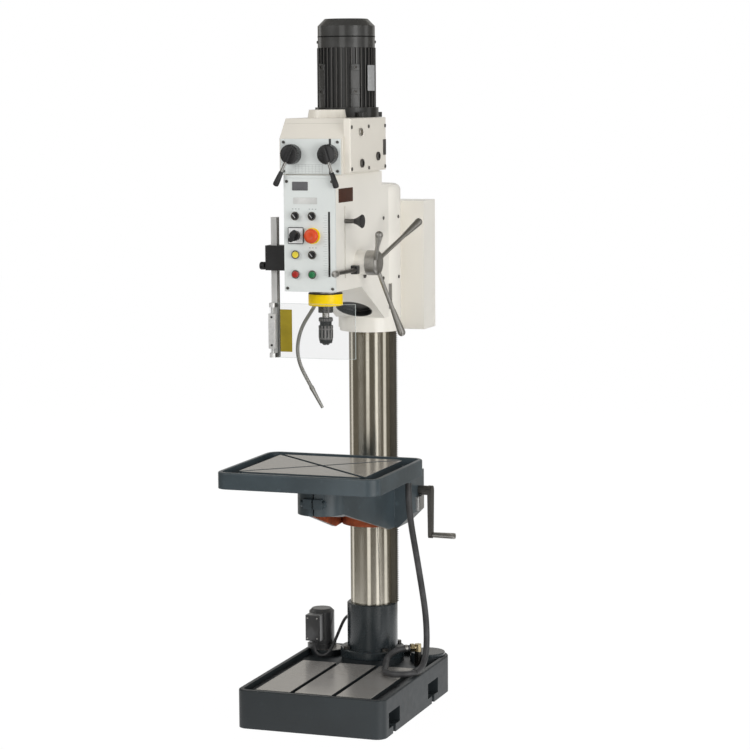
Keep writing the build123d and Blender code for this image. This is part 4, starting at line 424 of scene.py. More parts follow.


# The table and arm wear the paint in a lighter tone than the base, as painted light.
wear(nodes["table"], cast_iron("table_paint_lit", tone=2.4, dull=0.30, coat=0.15, peel=0.00012, bare=table_pad))
wear(nodes["arm"], cast_iron("arm_paint_lit", tone=2.4, dull=0.30, coat=0.15, peel=0.00012, primer=arm_hollow))


# Crank and clamp: a forged crank on the lift shaft with a turned grip that spins on its pin, and a
# clamp screw with a ball lever behind the collar. All are steel, dark where no hand rubs them. An
# aluminium cover closes the lift housing.
RIGHT, BACK, UP = (1, 0, 0), (0, 1, 0), (0, 0, 1)
FORWARD, DOWN = (0, -1, 0), (0, 0, -1)
CRANK_STEEL = (0.15, 0.145, 0.138)
TURNED_STEEL = (0.52, 0.51, 0.49)
COVER_GREY = (0.60, 0.60, 0.60)
GRIP_FOOT = (0.1884, 0.006, 0.479)
GRIP_PROFILE = ((0, 0.0070), (0.0012, 0.0080), (0.020, 0.0084), (0.050, 0.0088), (0.066, 0.0090),
                (0.0688, 0.0080), (0.0698, 0.0048))
COVER_PLACE, COVER_FORM = (0.146, 0.0, 0.575), ((0.050, 0.042), 0.010, 0.004, 0.002)
CORNER_POINTS, EDGE_POINTS = 7, 5


def turned(name, foot, way, profile, sides=40, flutes=0, cut=0.0):
    """A profile turned about an axis, as rows of height and radius with, where it is fluted, a share:
    the flutes lessen the radius by a cut that goes round as a cosine. A face closes each end."""
    way = np.array(way, float) / np.linalg.norm(way)
    side = np.cross(way, UP if abs(way[2]) < 0.9 else RIGHT)
    side /= np.linalg.norm(side)
    over = np.cross(way, side)
    rows = np.array(profile, float)
    turn = np.linspace(0, 2 * math.pi, sides, endpoint=False)
    radius = rows[:, 1:2] - rows[:, 2:].sum(1, keepdims=True) * cut * (0.5 + 0.5 * np.cos(flutes * turn))
    spokes = np.cos(turn)[:, None] * side + np.sin(turn)[:, None] * over
    grid = np.array(foot) + rows[:, 0, None, None] * way + radius[:, :, None] * spokes
    return surface(name, grid, start_cap=True, end_cap=True)


def slab(name, middle, across, up, size, depth, corner, edge):
    """A rounded rectangle that rises from a face at its middle, with sides along across and up: a
    straight side, then a quarter circle over to the flat top. The last four values are its form:
    width and height, depth, and the radii of its corners and of its front edge."""
    across, up = np.array(across, float), np.array(up, float)
    turn = np.linspace(0, math.pi / 2, CORNER_POINTS) + np.arange(4)[:, None] * math.pi / 2
    signs = np.repeat([(1, 1), (-1, 1), (-1, -1), (1, -1)], CORNER_POINTS, 0)
    lean = np.linspace(0, math.pi / 2, EDGE_POINTS)
    radius = np.r_[corner, corner - edge * (1 - np.cos(lean))][:, None, None]
    height = np.r_[0, depth - edge + edge * np.sin(lean)][:, None, None]
    spokes = np.stack([np.cos(turn), np.sin(turn)], -1).reshape(-1, 2)
    flat = signs * (np.array(size) / 2 - corner) + radius * spokes
    grid = np.array(middle) + flat[..., :1] * across + flat[..., 1:] * up + height * np.cross(across, up)
    return surface(name, grid, start_cap=True, end_cap=True)


def fit(piece, material, slot, body, *shown_nodes):
    """Dresses a piece, sets it on its body and lets it stand for the nodes that it shows."""
    wear(piece, material)
    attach(piece, body)
    if shown_nodes:
        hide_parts(*shown_nodes)


turned_steel = ground_steel("turned_steel", TURNED_STEEL, rough=0.30, grain=120, lines=(6, 1, 1))
dark_steel = ground_steel("dark_steel", CRANK_STEEL, rough=0.36, grain=90, lines=(1, 1, 2))
fit(turned("crank_grip_turned", GRIP_FOOT, RIGHT, GRIP_PROFILE), turned_steel, "grip_steel", "crank_grip",
    "crank_grip")
for dark_node in ("crank", "arm_clamp_lever", "fasteners"):
    wear(nodes[dark_node], dark_steel)
wear(nodes["lift_pinion"], rack_steel)
fit(slab("lift_housing_cover", COVER_PLACE, BACK, UP, *COVER_FORM),
    ground_steel("cover_aluminium", COVER_GREY, rough=0.36, grain=160), "post_aluminium", "arm")


# Cords: a black rubber cable from the pump's box to the column foot, and the drain hose from the
# table to the brass fitting. The hose is in three stretches, one for each joint that it crosses.
MM = 0.001
CABLE_D, HOSE_D = 0.009, 0.018
CABLE_ROUTE = np.array(((-180, -18, 134), (-180, -18, 118), (-173.5, -19.5, 105.5), (-161.5, -21, 97.5),
                        (-147, -20.5, 98), (-135.5, -16, 106), (-128.5, -8.5, 119.5), (-123.5, 1, 134.5),
                        (-119.5, 12, 149.5), (-116.5, 24, 164), (-114, 36.5, 177.5), (-112, 49.5, 189),
                        (-110, 63, 197), (-106.5, 77, 202), (-100, 89.5, 204.5), (-89, 98.5, 205.5),
                        (-75, 101.5, 206), (-61, 96.5, 206), (-49.5, 85.7, 206), (-41.5, 71.9, 206))) * MM
HOSE_ROUTE = np.array(((195, -235, 673), (195, -235, 634), (195.5, -229, 590), (198.5, -214, 530),
                       (203, -197, 470), (207, -180, 410), (211, -164, 350), (215, -150, 290),
                       (217, -143, 236), (217.5, -143.5, 184), (217, -152, 153), (216, -174, 130),
                       (213, -207, 121), (206.5, -236, 120), (188, -254.5, 119.5), (163, -261, 119),
                       (138, -254.5, 118.5), (119.5, -236, 118), (112, -211, 118), (104, -181, 118),
                       (95, -152, 119), (86.5, -125, 122.5), (83.5, -98.5, 130), (93, -75, 139),
                       (110.4, -59.2, 146), (131.2, -43.6, 146))) * MM
HOSE_CUTS = (3, 8)
HOSE_STRETCHES = (("drain_hose_top", "table", "arm", "hanging"),
                  ("drain_hose_middle", "arm", "rack", "hanging"),
                  ("drain_hose_lower", "rack", "frame", "loose"))
SIDEWAYS = (0.31, 0.95, 0.05)
RUBBER = (0.027, 0.027, 0.028)


def smooth_line(name, points, bevel=0.0):
    """One smooth open curve that a cord's route points pull towards themselves."""
    line = bpy.data.curves.new(name, "CURVE")
    line.dimensions = "3D"
    line.bevel_depth = bevel
    line.bevel_resolution = 6
    line.resolution_u = 8
    spline = line.splines.new("NURBS")
    spline.points.add(len(points) - 1)
    spline.points.foreach_set("co", np.c_[points, np.ones(len(points))].ravel())
    spline.order_u = 3
    spline.use_endpoint_u = True
    made = bpy.data.objects.new(name, line)
    scene.collection.objects.link(made)
    return made


def line_points(points):
    """Points along the smooth curve of a route."""
    guide = smooth_line("guide_line", points)
    bpy.context.view_layer.update()
    mesh = bpy.data.meshes.new_from_object(guide)
    found = np.empty(len(mesh.vertices) * 3)
    mesh.vertices.foreach_get("co", found)
    bpy.data.objects.remove(guide)
    return found.reshape(-1, 3)


def carried(name, path, radius, sides=20):
    """A round section carried along a path. Each ring stands square to the path, on two axes that
    follow from one fixed sideways direction, and radius may change from point to point."""
    way = np.gradient(path, axis=0)
    way /= np.linalg.norm(way, axis=1, keepdims=True)
    side = np.cross(way, SIDEWAYS)
    side /= np.linalg.norm(side, axis=1, keepdims=True)
    over = np.cross(way, side)
    turn = np.linspace(0, 2 * math.pi, sides, endpoint=False)
    size = np.broadcast_to(radius, len(path))[:, None, None]
    rings = np.cos(turn)[:, None] * side[:, None] + np.sin(turn)[:, None] * over[:, None]
    return surface(name, path[:, None] + size * rings, start_cap=True, end_cap=True)


def run_along(path):
    """The length of a path from its start to each of its points: the sum of the steps so far."""
    return np.r_[0, np.cumsum(np.linalg.norm(np.diff(path, axis=0), axis=1))]


def black_rubber(name):
    """Black rubber with a soft bloom and a faint moulded grain."""
    made, shader, place = new_material(name)
    bloom = cloud(place, 22, detail=5)
    grain = cloud(place, 900)
    tone = mix(bloom.rises(0.35, 0.75), coloured(RUBBER), coloured(RUBBER, 2.4))
    dress(shader, {"Base Color": tone, "Roughness": 0.42 + 0.2 * bloom, "Normal": relief(grain, 0.00008)})
    return made


rubber = black_rubber("black_rubber")
cable = smooth_line("pump_cable_line", CABLE_ROUTE, CABLE_D / 2)
cable_path = line_points(CABLE_ROUTE)
wear(cable, rubber)
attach(cable, "frame")
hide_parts("pump_cable")

hose_start = HOSE_ROUTE[:0]
hose_from = 0
for hose_cut, (hose_name, hose_upper, hose_lower, hose_lay) in zip(HOSE_CUTS + (None,), HOSE_STRETCHES):
    hose_points = np.vstack([hose_start, HOSE_ROUTE[hose_from:hose_cut]])
    if hose_cut:
        hose_start = HOSE_ROUTE[hose_cut - 1:hose_cut + 1].mean(0, keepdims=True)
        hose_points = np.vstack([hose_points, hose_start])
        hose_from = hose_cut
    hose_path = line_points(hose_points)
    hose = carried(hose_name + "_rubber", hose_path, HOSE_D / 2)
    wear(hose, rubber)
    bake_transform(hose)
    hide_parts(hose_name)


# Coolant pump: a black motor on a flange over the tank, with a terminal box in front whose lid has
# four screws. The brass elbow beside the column takes the drain hose, held by a steel band.
BLACK = (0.016, 0.016, 0.017)
PUMP_BLACK = (0.040, 0.040, 0.041)
BRASS = (0.55, 0.46, 0.29)
PIPE_IRON = (0.05, 0.048, 0.044)
PIPE_TOP, PIPE_SOFT = 0.134, 0.0005
LID_PLACE, LID_SIZE, LID_T = (-0.180, -0.030, 0.181), (0.042, 0.074), 0.0035
LID_CORNER, LID_EDGE = 0.004, 0.0012
LID_SCREW_IN, LID_SCREW_R, LID_SCREW_RISE = 0.006, 0.0026, 0.0016
BAND_FOOT, BAND_WAY = (0.1184, -0.0532, 0.146), (0.8, 0.6, 0)
BAND_PROFILE = ((0, 0.0098), (0.0006, 0.0106), (0.0084, 0.0106), (0.009, 0.0098))
MOULDED_EDGE = 0.0008


def moulded(name, colour, rough=0.40, grain=600, depth=0.00005, coat=0.0, shine=0.5):
    """Moulded plastic or stoved paint: faint blotches of tone, a fine grain and eased edges."""
    made, shader, place = new_material(name)
    blotch = cloud(place, 20, detail=4)
    tone = mix(blotch.rises(0.3, 0.75), coloured(colour, 0.86), coloured(colour, 1.18))
    dress(shader, {"Base Color": tone, "Roughness": rough - 0.06 + 0.12 * blotch, "Coat Weight": coat,
                   "Coat Roughness": 0.12, "Specular IOR Level": shine,
                   "Normal": relief(cloud(place, grain), depth, MOULDED_EDGE)})
    return made


def dome(radius, height, steps=5):
    """Rows of a low round head: a straight half, then a curve over to just short of the middle, with
    the height as a sine of the lean and the radius as its cosine to the power 0.6."""
    lean = np.linspace(0, 0.48 * math.pi, steps)
    return [(0, radius)] + list(zip(height * (0.5 + 0.5 * np.sin(lean)), radius * np.cos(lean) ** 0.6))


def pipe_end(place):
    """1 on the iron pipe below the brass elbow."""
    return 1 - axes(place)[2].rises(PIPE_TOP - PIPE_SOFT, PIPE_TOP + PIPE_SOFT)


black_plastic = moulded("black_plastic", BLACK)
pump_black = moulded("pump_black", PUMP_BLACK, rough=0.32, grain=300, depth=0.00006, coat=0.5)
wear(nodes["coolant_pump"], pump_black)
wear(nodes["cable_glands"], black_plastic)
fit(slab("pump_box_lid", LID_PLACE, RIGHT, UP, LID_SIZE, LID_T, LID_CORNER, LID_EDGE), pump_black,
    "black_plastic", "frame")
for lid_x in (-1, 1):
    for lid_z in (-1, 1):
        lid_spot = (LID_PLACE[0] + lid_x * (LID_SIZE[0] / 2 - LID_SCREW_IN), LID_PLACE[1] - LID_T,
                    LID_PLACE[2] + lid_z * (LID_SIZE[1] / 2 - LID_SCREW_IN))
        fit(turned("pump_lid_screw", lid_spot, FORWARD, dome(LID_SCREW_R, LID_SCREW_RISE), sides=16),
            turned_steel, "dark_steel", "frame")
wear(nodes["drain_fitting"], ground_steel("brass", BRASS, rough=0.24, grain=90, shade=(pipe_end, PIPE_IRON)))
fit(turned("hose_band", BAND_FOOT, BAND_WAY, BAND_PROFILE, sides=32), turned_steel, "grip_steel", "frame")


# Head: one iron casting in cream enamel, hollow for quill and feed shaft. Its barrel is clamped to the
# column through a plate in a recess, and a round lamp is let into the sloped underside.
CREAM = (0.76, 0.72, 0.64)
HEAD_LIT_CREAM = (0.85, 0.82, 0.75)
BROWN = (0.068, 0.026, 0.016)
CLAMP_STEEL = (0.34, 0.33, 0.31)
BORE_SHADE = (0.012, 0.012, 0.012)
LENS_BLACK = (0.012, 0.012, 0.013)
SIDE_PLATE_PLACE = (0.075, -0.4065, 1.4955)
SIDE_PLATE_FORM = ((0.112, 0.0385), 0.0012, 0.002, 0.0004)
SIDE_PLUG_SPOT = (0.075, -0.2583, 1.263)
SIDE_PLUG = ((0, 0.0080), (0.0030, 0.0080), (0.0042, 0.0068), (0.0042, 0.0040), (0.0016, 0.0036),
             (0.0016, 0.0006))
RECESS_ANGLE, RECESS_R, RECESS_Z = math.radians(-35), 0.085, 1.186
CLAMP_FORM = ((0.027, 0.073), 0.003, 0.003, 0.0012)
LAMP_SEAT, LAMP_DOWN = (0, -0.1286, 1.1763), (0, -0.4757, -0.8796)
LAMP_BORE, LAMP_BORE_TOP = 0.0532, 1.246
BORE_SOFT, BORE_TOP_SOFT = 0.0003, 0.001
LAMP_RIM = ((0, 0.0500), (0.0105, 0.0500), (0.0120, 0.0488), (0.0120, 0.0440), (0.0085, 0.0425),
            (0.0085, 0.0100))
LENS_IN, LENS_R, LENS_RISE = 0.008, 0.0425, 0.003
ENAMEL_EDGE = 0.0016


def enamel(name, colour, shade=None, coat=0.3, shine=0.5):
    """Glossy enamel: slow changes of tone, a faint orange peel and eased edges, with a second colour
    where a shade's mask is 1."""
    made, shader, place = new_material(name)
    slow = cloud(place, 4)
    tone = mix(slow.rises(0.3, 0.7), coloured(colour, 0.965), coloured(colour, 1.02))
    if shade is not None:
        tone = mix(shade[0](place), tone, coloured(shade[1]))
    dress(shader, {"Base Color": tone, "Roughness": 0.30 + 0.08 * slow, "Coat Weight": coat,
                   "Coat Roughness": 0.10, "Specular IOR Level": shine,
                   "Normal": relief(cloud(place, 320), 0.00004, ENAMEL_EDGE)})
    return made


def lamp_bore_shade(place):
    """1 in the bore round the lamp, painted dark as shade: near the lamp's axis and below the bore's top."""
    x, y, z = axes(place)
    aside = (z - LAMP_SEAT[2]) * LAMP_DOWN[1] - (y - LAMP_SEAT[1]) * LAMP_DOWN[2]
    inside = 1 - x.reach(aside).rises(LAMP_BORE - BORE_SOFT, LAMP_BORE)
    return inside * (1 - z.rises(LAMP_BORE_TOP - BORE_TOP_SOFT, LAMP_BORE_TOP))


cream = enamel("cream_enamel", CREAM)
# The head casting wears a lighter copy of the gearbox's cream as painted light, and the bore round its lamp
# is painted dark as shade.
wear(nodes["head_casting"], enamel("head_enamel_painted_light", HEAD_LIT_CREAM, (lamp_bore_shade, BORE_SHADE)))
for cream_node in ("gearbox_housing", "gearbox_cover", "gearbox_side_cover", "spindle_cap"):
    wear(nodes[cream_node], cream)
fit(slab("side_plate_blank", SIDE_PLATE_PLACE, BACK, UP, *SIDE_PLATE_FORM),
    moulded("brown_plate", BROWN, rough=0.6, shine=0.2), "black_plastic", "frame")
fit(turned("oil_drain_plug", SIDE_PLUG_SPOT, RIGHT, SIDE_PLUG, sides=32), dark_steel, "dark_steel", "frame")
recess_out = (math.cos(RECESS_ANGLE), math.sin(RECESS_ANGLE))
fit(slab("clamp_plate", (RECESS_R * recess_out[0], RECESS_R * recess_out[1], RECESS_Z),
         (-recess_out[1], recess_out[0], 0), UP, *CLAMP_FORM),
    ground_steel("clamp_plate_steel", CLAMP_STEEL, rough=0.40, grain=100), "dark_steel", "frame")
fit(turned("lamp_rim", LAMP_SEAT, LAMP_DOWN, LAMP_RIM, sides=56), black_plastic, "black_plastic", "frame",
    "work_lamp")
lamp_glass = moulded("lamp_glass", LENS_BLACK, rough=0.32, grain=300, depth=0.0001, shine=0.3)
lens_foot = np.array(LAMP_SEAT) + LENS_IN * np.array(LAMP_DOWN)
fit(turned("lamp_lens", lens_foot, LAMP_DOWN, dome(LENS_R, LENS_RISE, steps=9), sides=56), lamp_glass,
    "lamp_glass", "frame")


# Quill and chuck: the ground quill slides in the head with a yellow collar on its end. The spindle
# turns in it and holds a keyless chuck of turned steel with a fluted sleeve and three jaws.
YELLOW = (1.0, 0.70, 0.0)
COLLAR_BLACK = (0.02, 0.02, 0.02)
CHUCK_STEEL, GROOVE_SHADE = (0.22, 0.21, 0.205), (0.010, 0.010, 0.010)
SPINDLE_STEEL = (0.66, 0.65, 0.63)
SPINDLE_Y = -0.371
COLLAR_LINE, COLLAR_SOFT = 1.2185, 0.0003
CHUCK_BODY = ((1.1296, 0.0165, 0), (1.1396, 0.0165, 0), (1.1412, 0.0188, 0), (1.1424, 0.0200, 1),
              (1.1500, 0.0200, 1), (1.1520, 0.0180, 0), (1.1520, 0.0104, 0))
CHUCK_SLEEVE = ((1.0800, 0.0140, 0), (1.0800, 0.0164, 0), (1.0812, 0.0172, 0), (1.0950, 0.0202, 0),
                (1.0962, 0.0205, 1), (1.1180, 0.0205, 1), (1.1190, 0.0198, 0), (1.1215, 0.0198, 0),
                (1.1225, 0.0205, 1), (1.1284, 0.0205, 1), (1.1300, 0.0190, 0), (1.1300, 0.0150, 0))
CHUCK_AXIS, CHUCK_SIDES = (0, SPINDLE_Y, 0), 216
CHUCK_PIECES = (("chuck_body", CHUCK_BODY, 24, 0.0010), ("chuck_sleeve", CHUCK_SLEEVE, 12, 0.0020))
JAW_LOOP = ((0.0050, 1.075), (0.0050, 1.100), (0.0125, 1.100), (0.0125, 1.0805), (0.0080, 1.075))
JAWS, JAW_HALF = 3, math.radians(49)
RIDGE_R, GROOVE_R = 0.0197, 0.0190
NOSE_FROM, NOSE_TO = 0.0125, 0.0135


def wedge(name, centre, loop, middle, half, steps=9):
    """A closed loop of radius and height carried round an axis from one angle to another."""
    turn = np.linspace(middle - half, middle + half, steps)[:, None]
    ring, height = np.array(loop).T
    across, along = centre[0] + ring * np.cos(turn), centre[1] + ring * np.sin(turn)
    grid = np.stack(np.broadcast_arrays(across, along, height), -1)
    return surface(name, grid, start_cap=True, end_cap=True)


def collar_line(place):
    """1 on the collar's top edge."""
    return axes(place)[2].rises(COLLAR_LINE - COLLAR_SOFT, COLLAR_LINE + COLLAR_SOFT)


def from_spindle(place):
    """The distance from the spindle's axis."""
    x, y, _ = axes(place)
    return x.reach(y - SPINDLE_Y)


def groove_shade(place):
    """1 in the chuck's grooves, painted dark as shade so that the ridges between them stand out bright."""
    return 1 - from_spindle(place).rises(GROOVE_R, RIDGE_R)


def on_nose(place):
    """1 on the blackened nose of the spindle and 0 on its bright neck."""
    return from_spindle(place).rises(NOSE_FROM, NOSE_TO)


for steel_node in ("quill", "spindle_bearings", "spindle_gear", "lay_shaft", "motor_rotor", "feed_shaft"):
    wear(nodes[steel_node], turned_steel)
wear(nodes["quill_collar"], enamel("yellow_collar", YELLOW, (collar_line, COLLAR_BLACK), coat=0.0, shine=0.2))
# The chuck's steel is painted dark in its grooves as shade.
chuck_steel = ground_steel("chuck_steel", CHUCK_STEEL, rough=0.34, grain=200, metal=0.5,
                           shade=(groove_shade, GROOVE_SHADE))
wear(nodes["spindle"], ground_steel("spindle_steel", SPINDLE_STEEL, rough=0.22, grain=150,
                                    shade=(on_nose, CRANK_STEEL)))
for chuck_name, chuck_rows, chuck_flutes, chuck_cut in CHUCK_PIECES:
    fit(turned(chuck_name, CHUCK_AXIS, UP, chuck_rows, CHUCK_SIDES, chuck_flutes, chuck_cut), chuck_steel,
        "dark_steel", "spindle", "drill_chuck")
for jaw_step in range(JAWS):
    fit(wedge("chuck_jaw", (0, SPINDLE_Y), JAW_LOOP, jaw_step * 2 * math.pi / JAWS, JAW_HALF), dark_steel,
        "dark_steel", "spindle", "drill_chuck")


# Feed: a cast hub with three levers on the feed shaft, the depth stop's flared knob in its slot, and
# the clutch lever, a tapered rod in a black block. Hub and levers are satin nickel, worn bright.
NICKEL = (0.45, 0.44, 0.42)
STOP_FOOT = (0.055, -0.413, 1.424)
STOP_ROD = ((0, 0.0062), (0.050, 0.0062))
STOP_KNOB = ((0.0480, 0.0072, 0), (0.0490, 0.0078, 0), (0.0520, 0.0082, 0), (0.0600, 0.0125, 0.3),
             (0.0670, 0.0172, 1), (0.0695, 0.0190, 1), (0.0715, 0.0190, 1), (0.0730, 0.0172, 0),
             (0.0730, 0.0060, 0))
CLUTCH_FOOT, CLUTCH_FORM = (0.075, -0.358, 1.286), ((0.024, 0.024), 0.018, 0.003, 0.0015)
CLUTCH_OUT = 0.011
CLUTCH_ARM = ((0.008, 0.0060), (0.060, 0.0056), (0.140, 0.0050), (0.158, 0.0052))
CLUTCH_END = ((0.148, 0.0054), (0.150, 0.0078), (0.156, 0.0096), (0.168, 0.0096), (0.174, 0.0074),
              (0.176, 0.0030))

nickel = ground_steel("satin_nickel", NICKEL, rough=0.30, grain=150)
for nickel_node in ("feed_hub", "feed_levers"):
    wear(nodes[nickel_node], nickel)
fit(turned("depth_stop_rod", STOP_FOOT, RIGHT, STOP_ROD, sides=24), dark_steel, "dark_steel", "depth_stop",
    "depth_stop")
fit(turned("depth_stop_knob", STOP_FOOT, RIGHT, STOP_KNOB, sides=64, flutes=16, cut=0.0012), black_plastic,
    "black_plastic", "depth_stop", "depth_stop")
fit(slab("clutch_block", CLUTCH_FOOT, BACK, UP, *CLUTCH_FORM), black_plastic, "black_plastic",
    "feed_clutch_lever", "feed_clutch_lever")
clutch_axis = (CLUTCH_FOOT[0] + CLUTCH_OUT, CLUTCH_FOOT[1], CLUTCH_FOOT[2])
for clutch_name, clutch_rows, clutch_finish in (("clutch_arm", CLUTCH_ARM, dark_steel),
                                                ("clutch_end", CLUTCH_END, turned_steel)):
    fit(turned(clutch_name, clutch_axis, FORWARD, clutch_rows, sides=28), clutch_finish, "grip_steel",
        "feed_clutch_lever", "feed_clutch_lever")


# Gearbox: the cream box on the head, with its sight glass and oil plugs in the side cover, and the two
# speed selectors on the front plate, each a black knob with a chromed rod and a tapered grip.
CHROME = (0.78, 0.78, 0.78)
KNOB_BLACK = (0.020, 0.020, 0.021)
OIL_AMBER = (0.10, 0.075, 0.03)
BLANK_STEEL = (0.16, 0.155, 0.15)
SIDE_FACE = 0.112
GLASS_SPOT = (-0.388, 1.668)
GLASS_IN, GLASS_R, GLASS_RISE = 0.0028, 0.0076, 0.0022
GLASS_RIM = ((0, 0.0110), (0.0048, 0.0110), (0.0058, 0.0100), (0.0058, 0.0080), (0.0030, 0.0076),
             (0.0030, 0.0010))
PLUG_SPOTS = ((-0.378, 1.582), (-0.245, 1.598))
PLUG_BODY = ((0, 0.0120), (0.0042, 0.0120), (0.0056, 0.0106), (0.0056, 0.0068), (0.0020, 0.0064),
             (0.0020, 0.0010))
COVER_BLANK_PLACE, COVER_BLANK_FORM = (SIDE_FACE, -0.1865, 1.622), ((0.024, 0.044), 0.001, 0.002, 0.0004)
KNOB_FACE = -0.4783
KNOB_PLACES = (("speed_selector_left", -0.054, 26), ("speed_selector_right", 0.054, -18))
KNOB_Z, KNOB_LEVER_OUT = 1.609, 0.022
KNOB_BODY = ((0, 0.0270, 0), (0.0015, 0.0280, 0), (0.0040, 0.0280, 1), (0.0190, 0.0276, 1),
             (0.0225, 0.0266, 0.4), (0.0250, 0.0240, 0), (0.0260, 0.0200, 0), (0.0262, 0.0020, 0))
RIDGE_OUT, RIDGE_FORM = 0.0258, ((0.046, 0.013), 0.006, 0.005, 0.002)
KNOB_ROD = ((0.0200, 0.0049), (0.0560, 0.0046))
KNOB_GRIP = ((0.0520, 0.0052), (0.0535, 0.0062), (0.0780, 0.0080), (0.0890, 0.0085), (0.0940, 0.0074),
             (0.0960, 0.0030))

chrome = ground_steel("chrome", CHROME, rough=0.08, grain=60)
knob_black = moulded("knob_black", KNOB_BLACK, rough=0.28, grain=500, depth=0.00004, coat=0.3)
fit(turned("sight_glass_rim", (SIDE_FACE, *GLASS_SPOT), RIGHT, GLASS_RIM), turned_steel, "oil_steel", "frame",
    "oil_fittings")
fit(turned("sight_glass", (SIDE_FACE + GLASS_IN, *GLASS_SPOT), RIGHT, dome(GLASS_R, GLASS_RISE, steps=7),
           sides=32),
    moulded("oil_glass", OIL_AMBER, rough=0.08, grain=200, depth=0.00002, coat=0.6), "oil_steel", "frame")
for plug_spot in PLUG_SPOTS:
    fit(turned("oil_plug", (SIDE_FACE, *plug_spot), RIGHT, PLUG_BODY), dark_steel, "oil_steel", "frame",
        "oil_fittings")
fit(slab("side_cover_blank", COVER_BLANK_PLACE, BACK, UP, *COVER_BLANK_FORM),
    ground_steel("blank_plate", BLANK_STEEL, rough=0.36, grain=140), "dark_steel", "frame")
for knob_node, knob_x, knob_lean in KNOB_PLACES:
    lean = math.radians(knob_lean)
    lever_way = (-math.sin(lean), 0, -math.cos(lean))
    lever_side = (-lever_way[2], 0, lever_way[0])
    lever_foot = (knob_x, KNOB_FACE - KNOB_LEVER_OUT, KNOB_Z)
    ridge_spot = (knob_x, KNOB_FACE - RIDGE_OUT, KNOB_Z)
    fit(turned(knob_node + "_knob", (knob_x, KNOB_FACE, KNOB_Z), FORWARD, KNOB_BODY, sides=144, flutes=24,
               cut=0.0009), knob_black, "black_plastic", knob_node, knob_node)
    fit(slab(knob_node + "_ridge", ridge_spot, lever_way, lever_side, *RIDGE_FORM), knob_black,
        "black_plastic", knob_node, knob_node)
    fit(turned(knob_node + "_rod", lever_foot, lever_way, KNOB_ROD, sides=28), chrome, "bezel_chrome",
        knob_node, knob_node)
    fit(turned(knob_node + "_grip", lever_foot, lever_way, KNOB_GRIP, sides=32), black_plastic,
        "black_plastic", knob_node, knob_node)


# Motor: a finned, flanged motor in black paint under a pressed fan cowl, standing on the gearbox. Two
# feet with bored pads are cast on its front, and a plain metal plate is fixed to its side.
MOTOR_BLACK = (0.042, 0.042, 0.041)
FIN_TOP_HIGHLIGHT, FIN_VALLEY_SHADE = (0.060, 0.058, 0.054), (0.012, 0.012, 0.012)
SEAM_SHADOW = (0.005, 0.005, 0.005)
PLATE_GREY = (0.56, 0.57, 0.58)
MOTOR_Y = -0.187
MOTOR_R, FIN_R = 0.078, 0.083
COWL_SEAM_Z, COWL_R, SEAM_IN = 1.932, 0.0811, 0.0004
SEAM_ROWS = ((-0.0016, 0.0), (-0.0012, 0.0009), (0.0012, 0.0009), (0.0016, 0.0))
COWL_SCREW_Z, COWL_SCREW_ANGLES = 1.917, (-160, 20, 110)
COWL_SCREW_R, COWL_SCREW_RISE = 0.0040, 0.0030
FOOT_ANGLES, FOOT_LOW, FOOT_HIGH, FOOT_W = (-53, -127), 1.733, 1.856, 0.027
FOOT_IN, FOOT_CORNER, FOOT_EDGE = 0.001, 0.002, 0.001
FIN_TOP_FROM, FIN_TOP_TO, FLANGE_SOFT = FIN_R - 0.0012, FIN_R - 0.0006, 0.001
PAD_HEIGHTS, PAD_SIZE, PAD_T = (1.778, 1.846), (0.025, 0.017), 0.003
PAD_CORNER, PAD_EDGE = 0.002, 0.0008
PAD_HOLE = ((0, 0.0046), (0.0008, 0.0046), (0.0011, 0.0041), (0.0011, 0.0034), (-0.0018, 0.0032),
            (-0.0018, 0.0005))
PLATE_ANGLE, PLATE_R, PLATE_Z = -14, 0.083, 1.816
PLATE_FORM = ((0.034, 0.072), 0.0015, 0.002, 0.0005)


def fin_valley_shade(place):
    """1 away from the tops of the fins, where shade is painted: nearer the motor's axis than they are, or on
    the flange.
    """
    x, y, z = axes(place)
    top = x.reach(y - MOTOR_Y).rises(FIN_TOP_FROM, FIN_TOP_TO)
    return 1 - top * z.rises(FOOT_LOW, FOOT_LOW + FLANGE_SOFT)


def on_motor(degrees, radius, z):
    """A place round the motor, with the directions across and out of it there."""
    angle = math.radians(degrees)
    out = (math.cos(angle), math.sin(angle), 0)
    return (radius * out[0], MOTOR_Y + radius * out[1], z), (-out[1], out[0], 0), out


motor_black = moulded("motor_black", MOTOR_BLACK, rough=0.24, grain=400, depth=0.00005, coat=0.7)
wear(nodes["motor_cowl"], motor_black)
# The tops of the fins are painted lighter as a highlight, and the valleys between them and the flange darker
# as shade.
wear(nodes["motor_body"], enamel("motor_fins_painted_light", FIN_TOP_HIGHLIGHT, (fin_valley_shade, FIN_VALLEY_SHADE), coat=0.6))
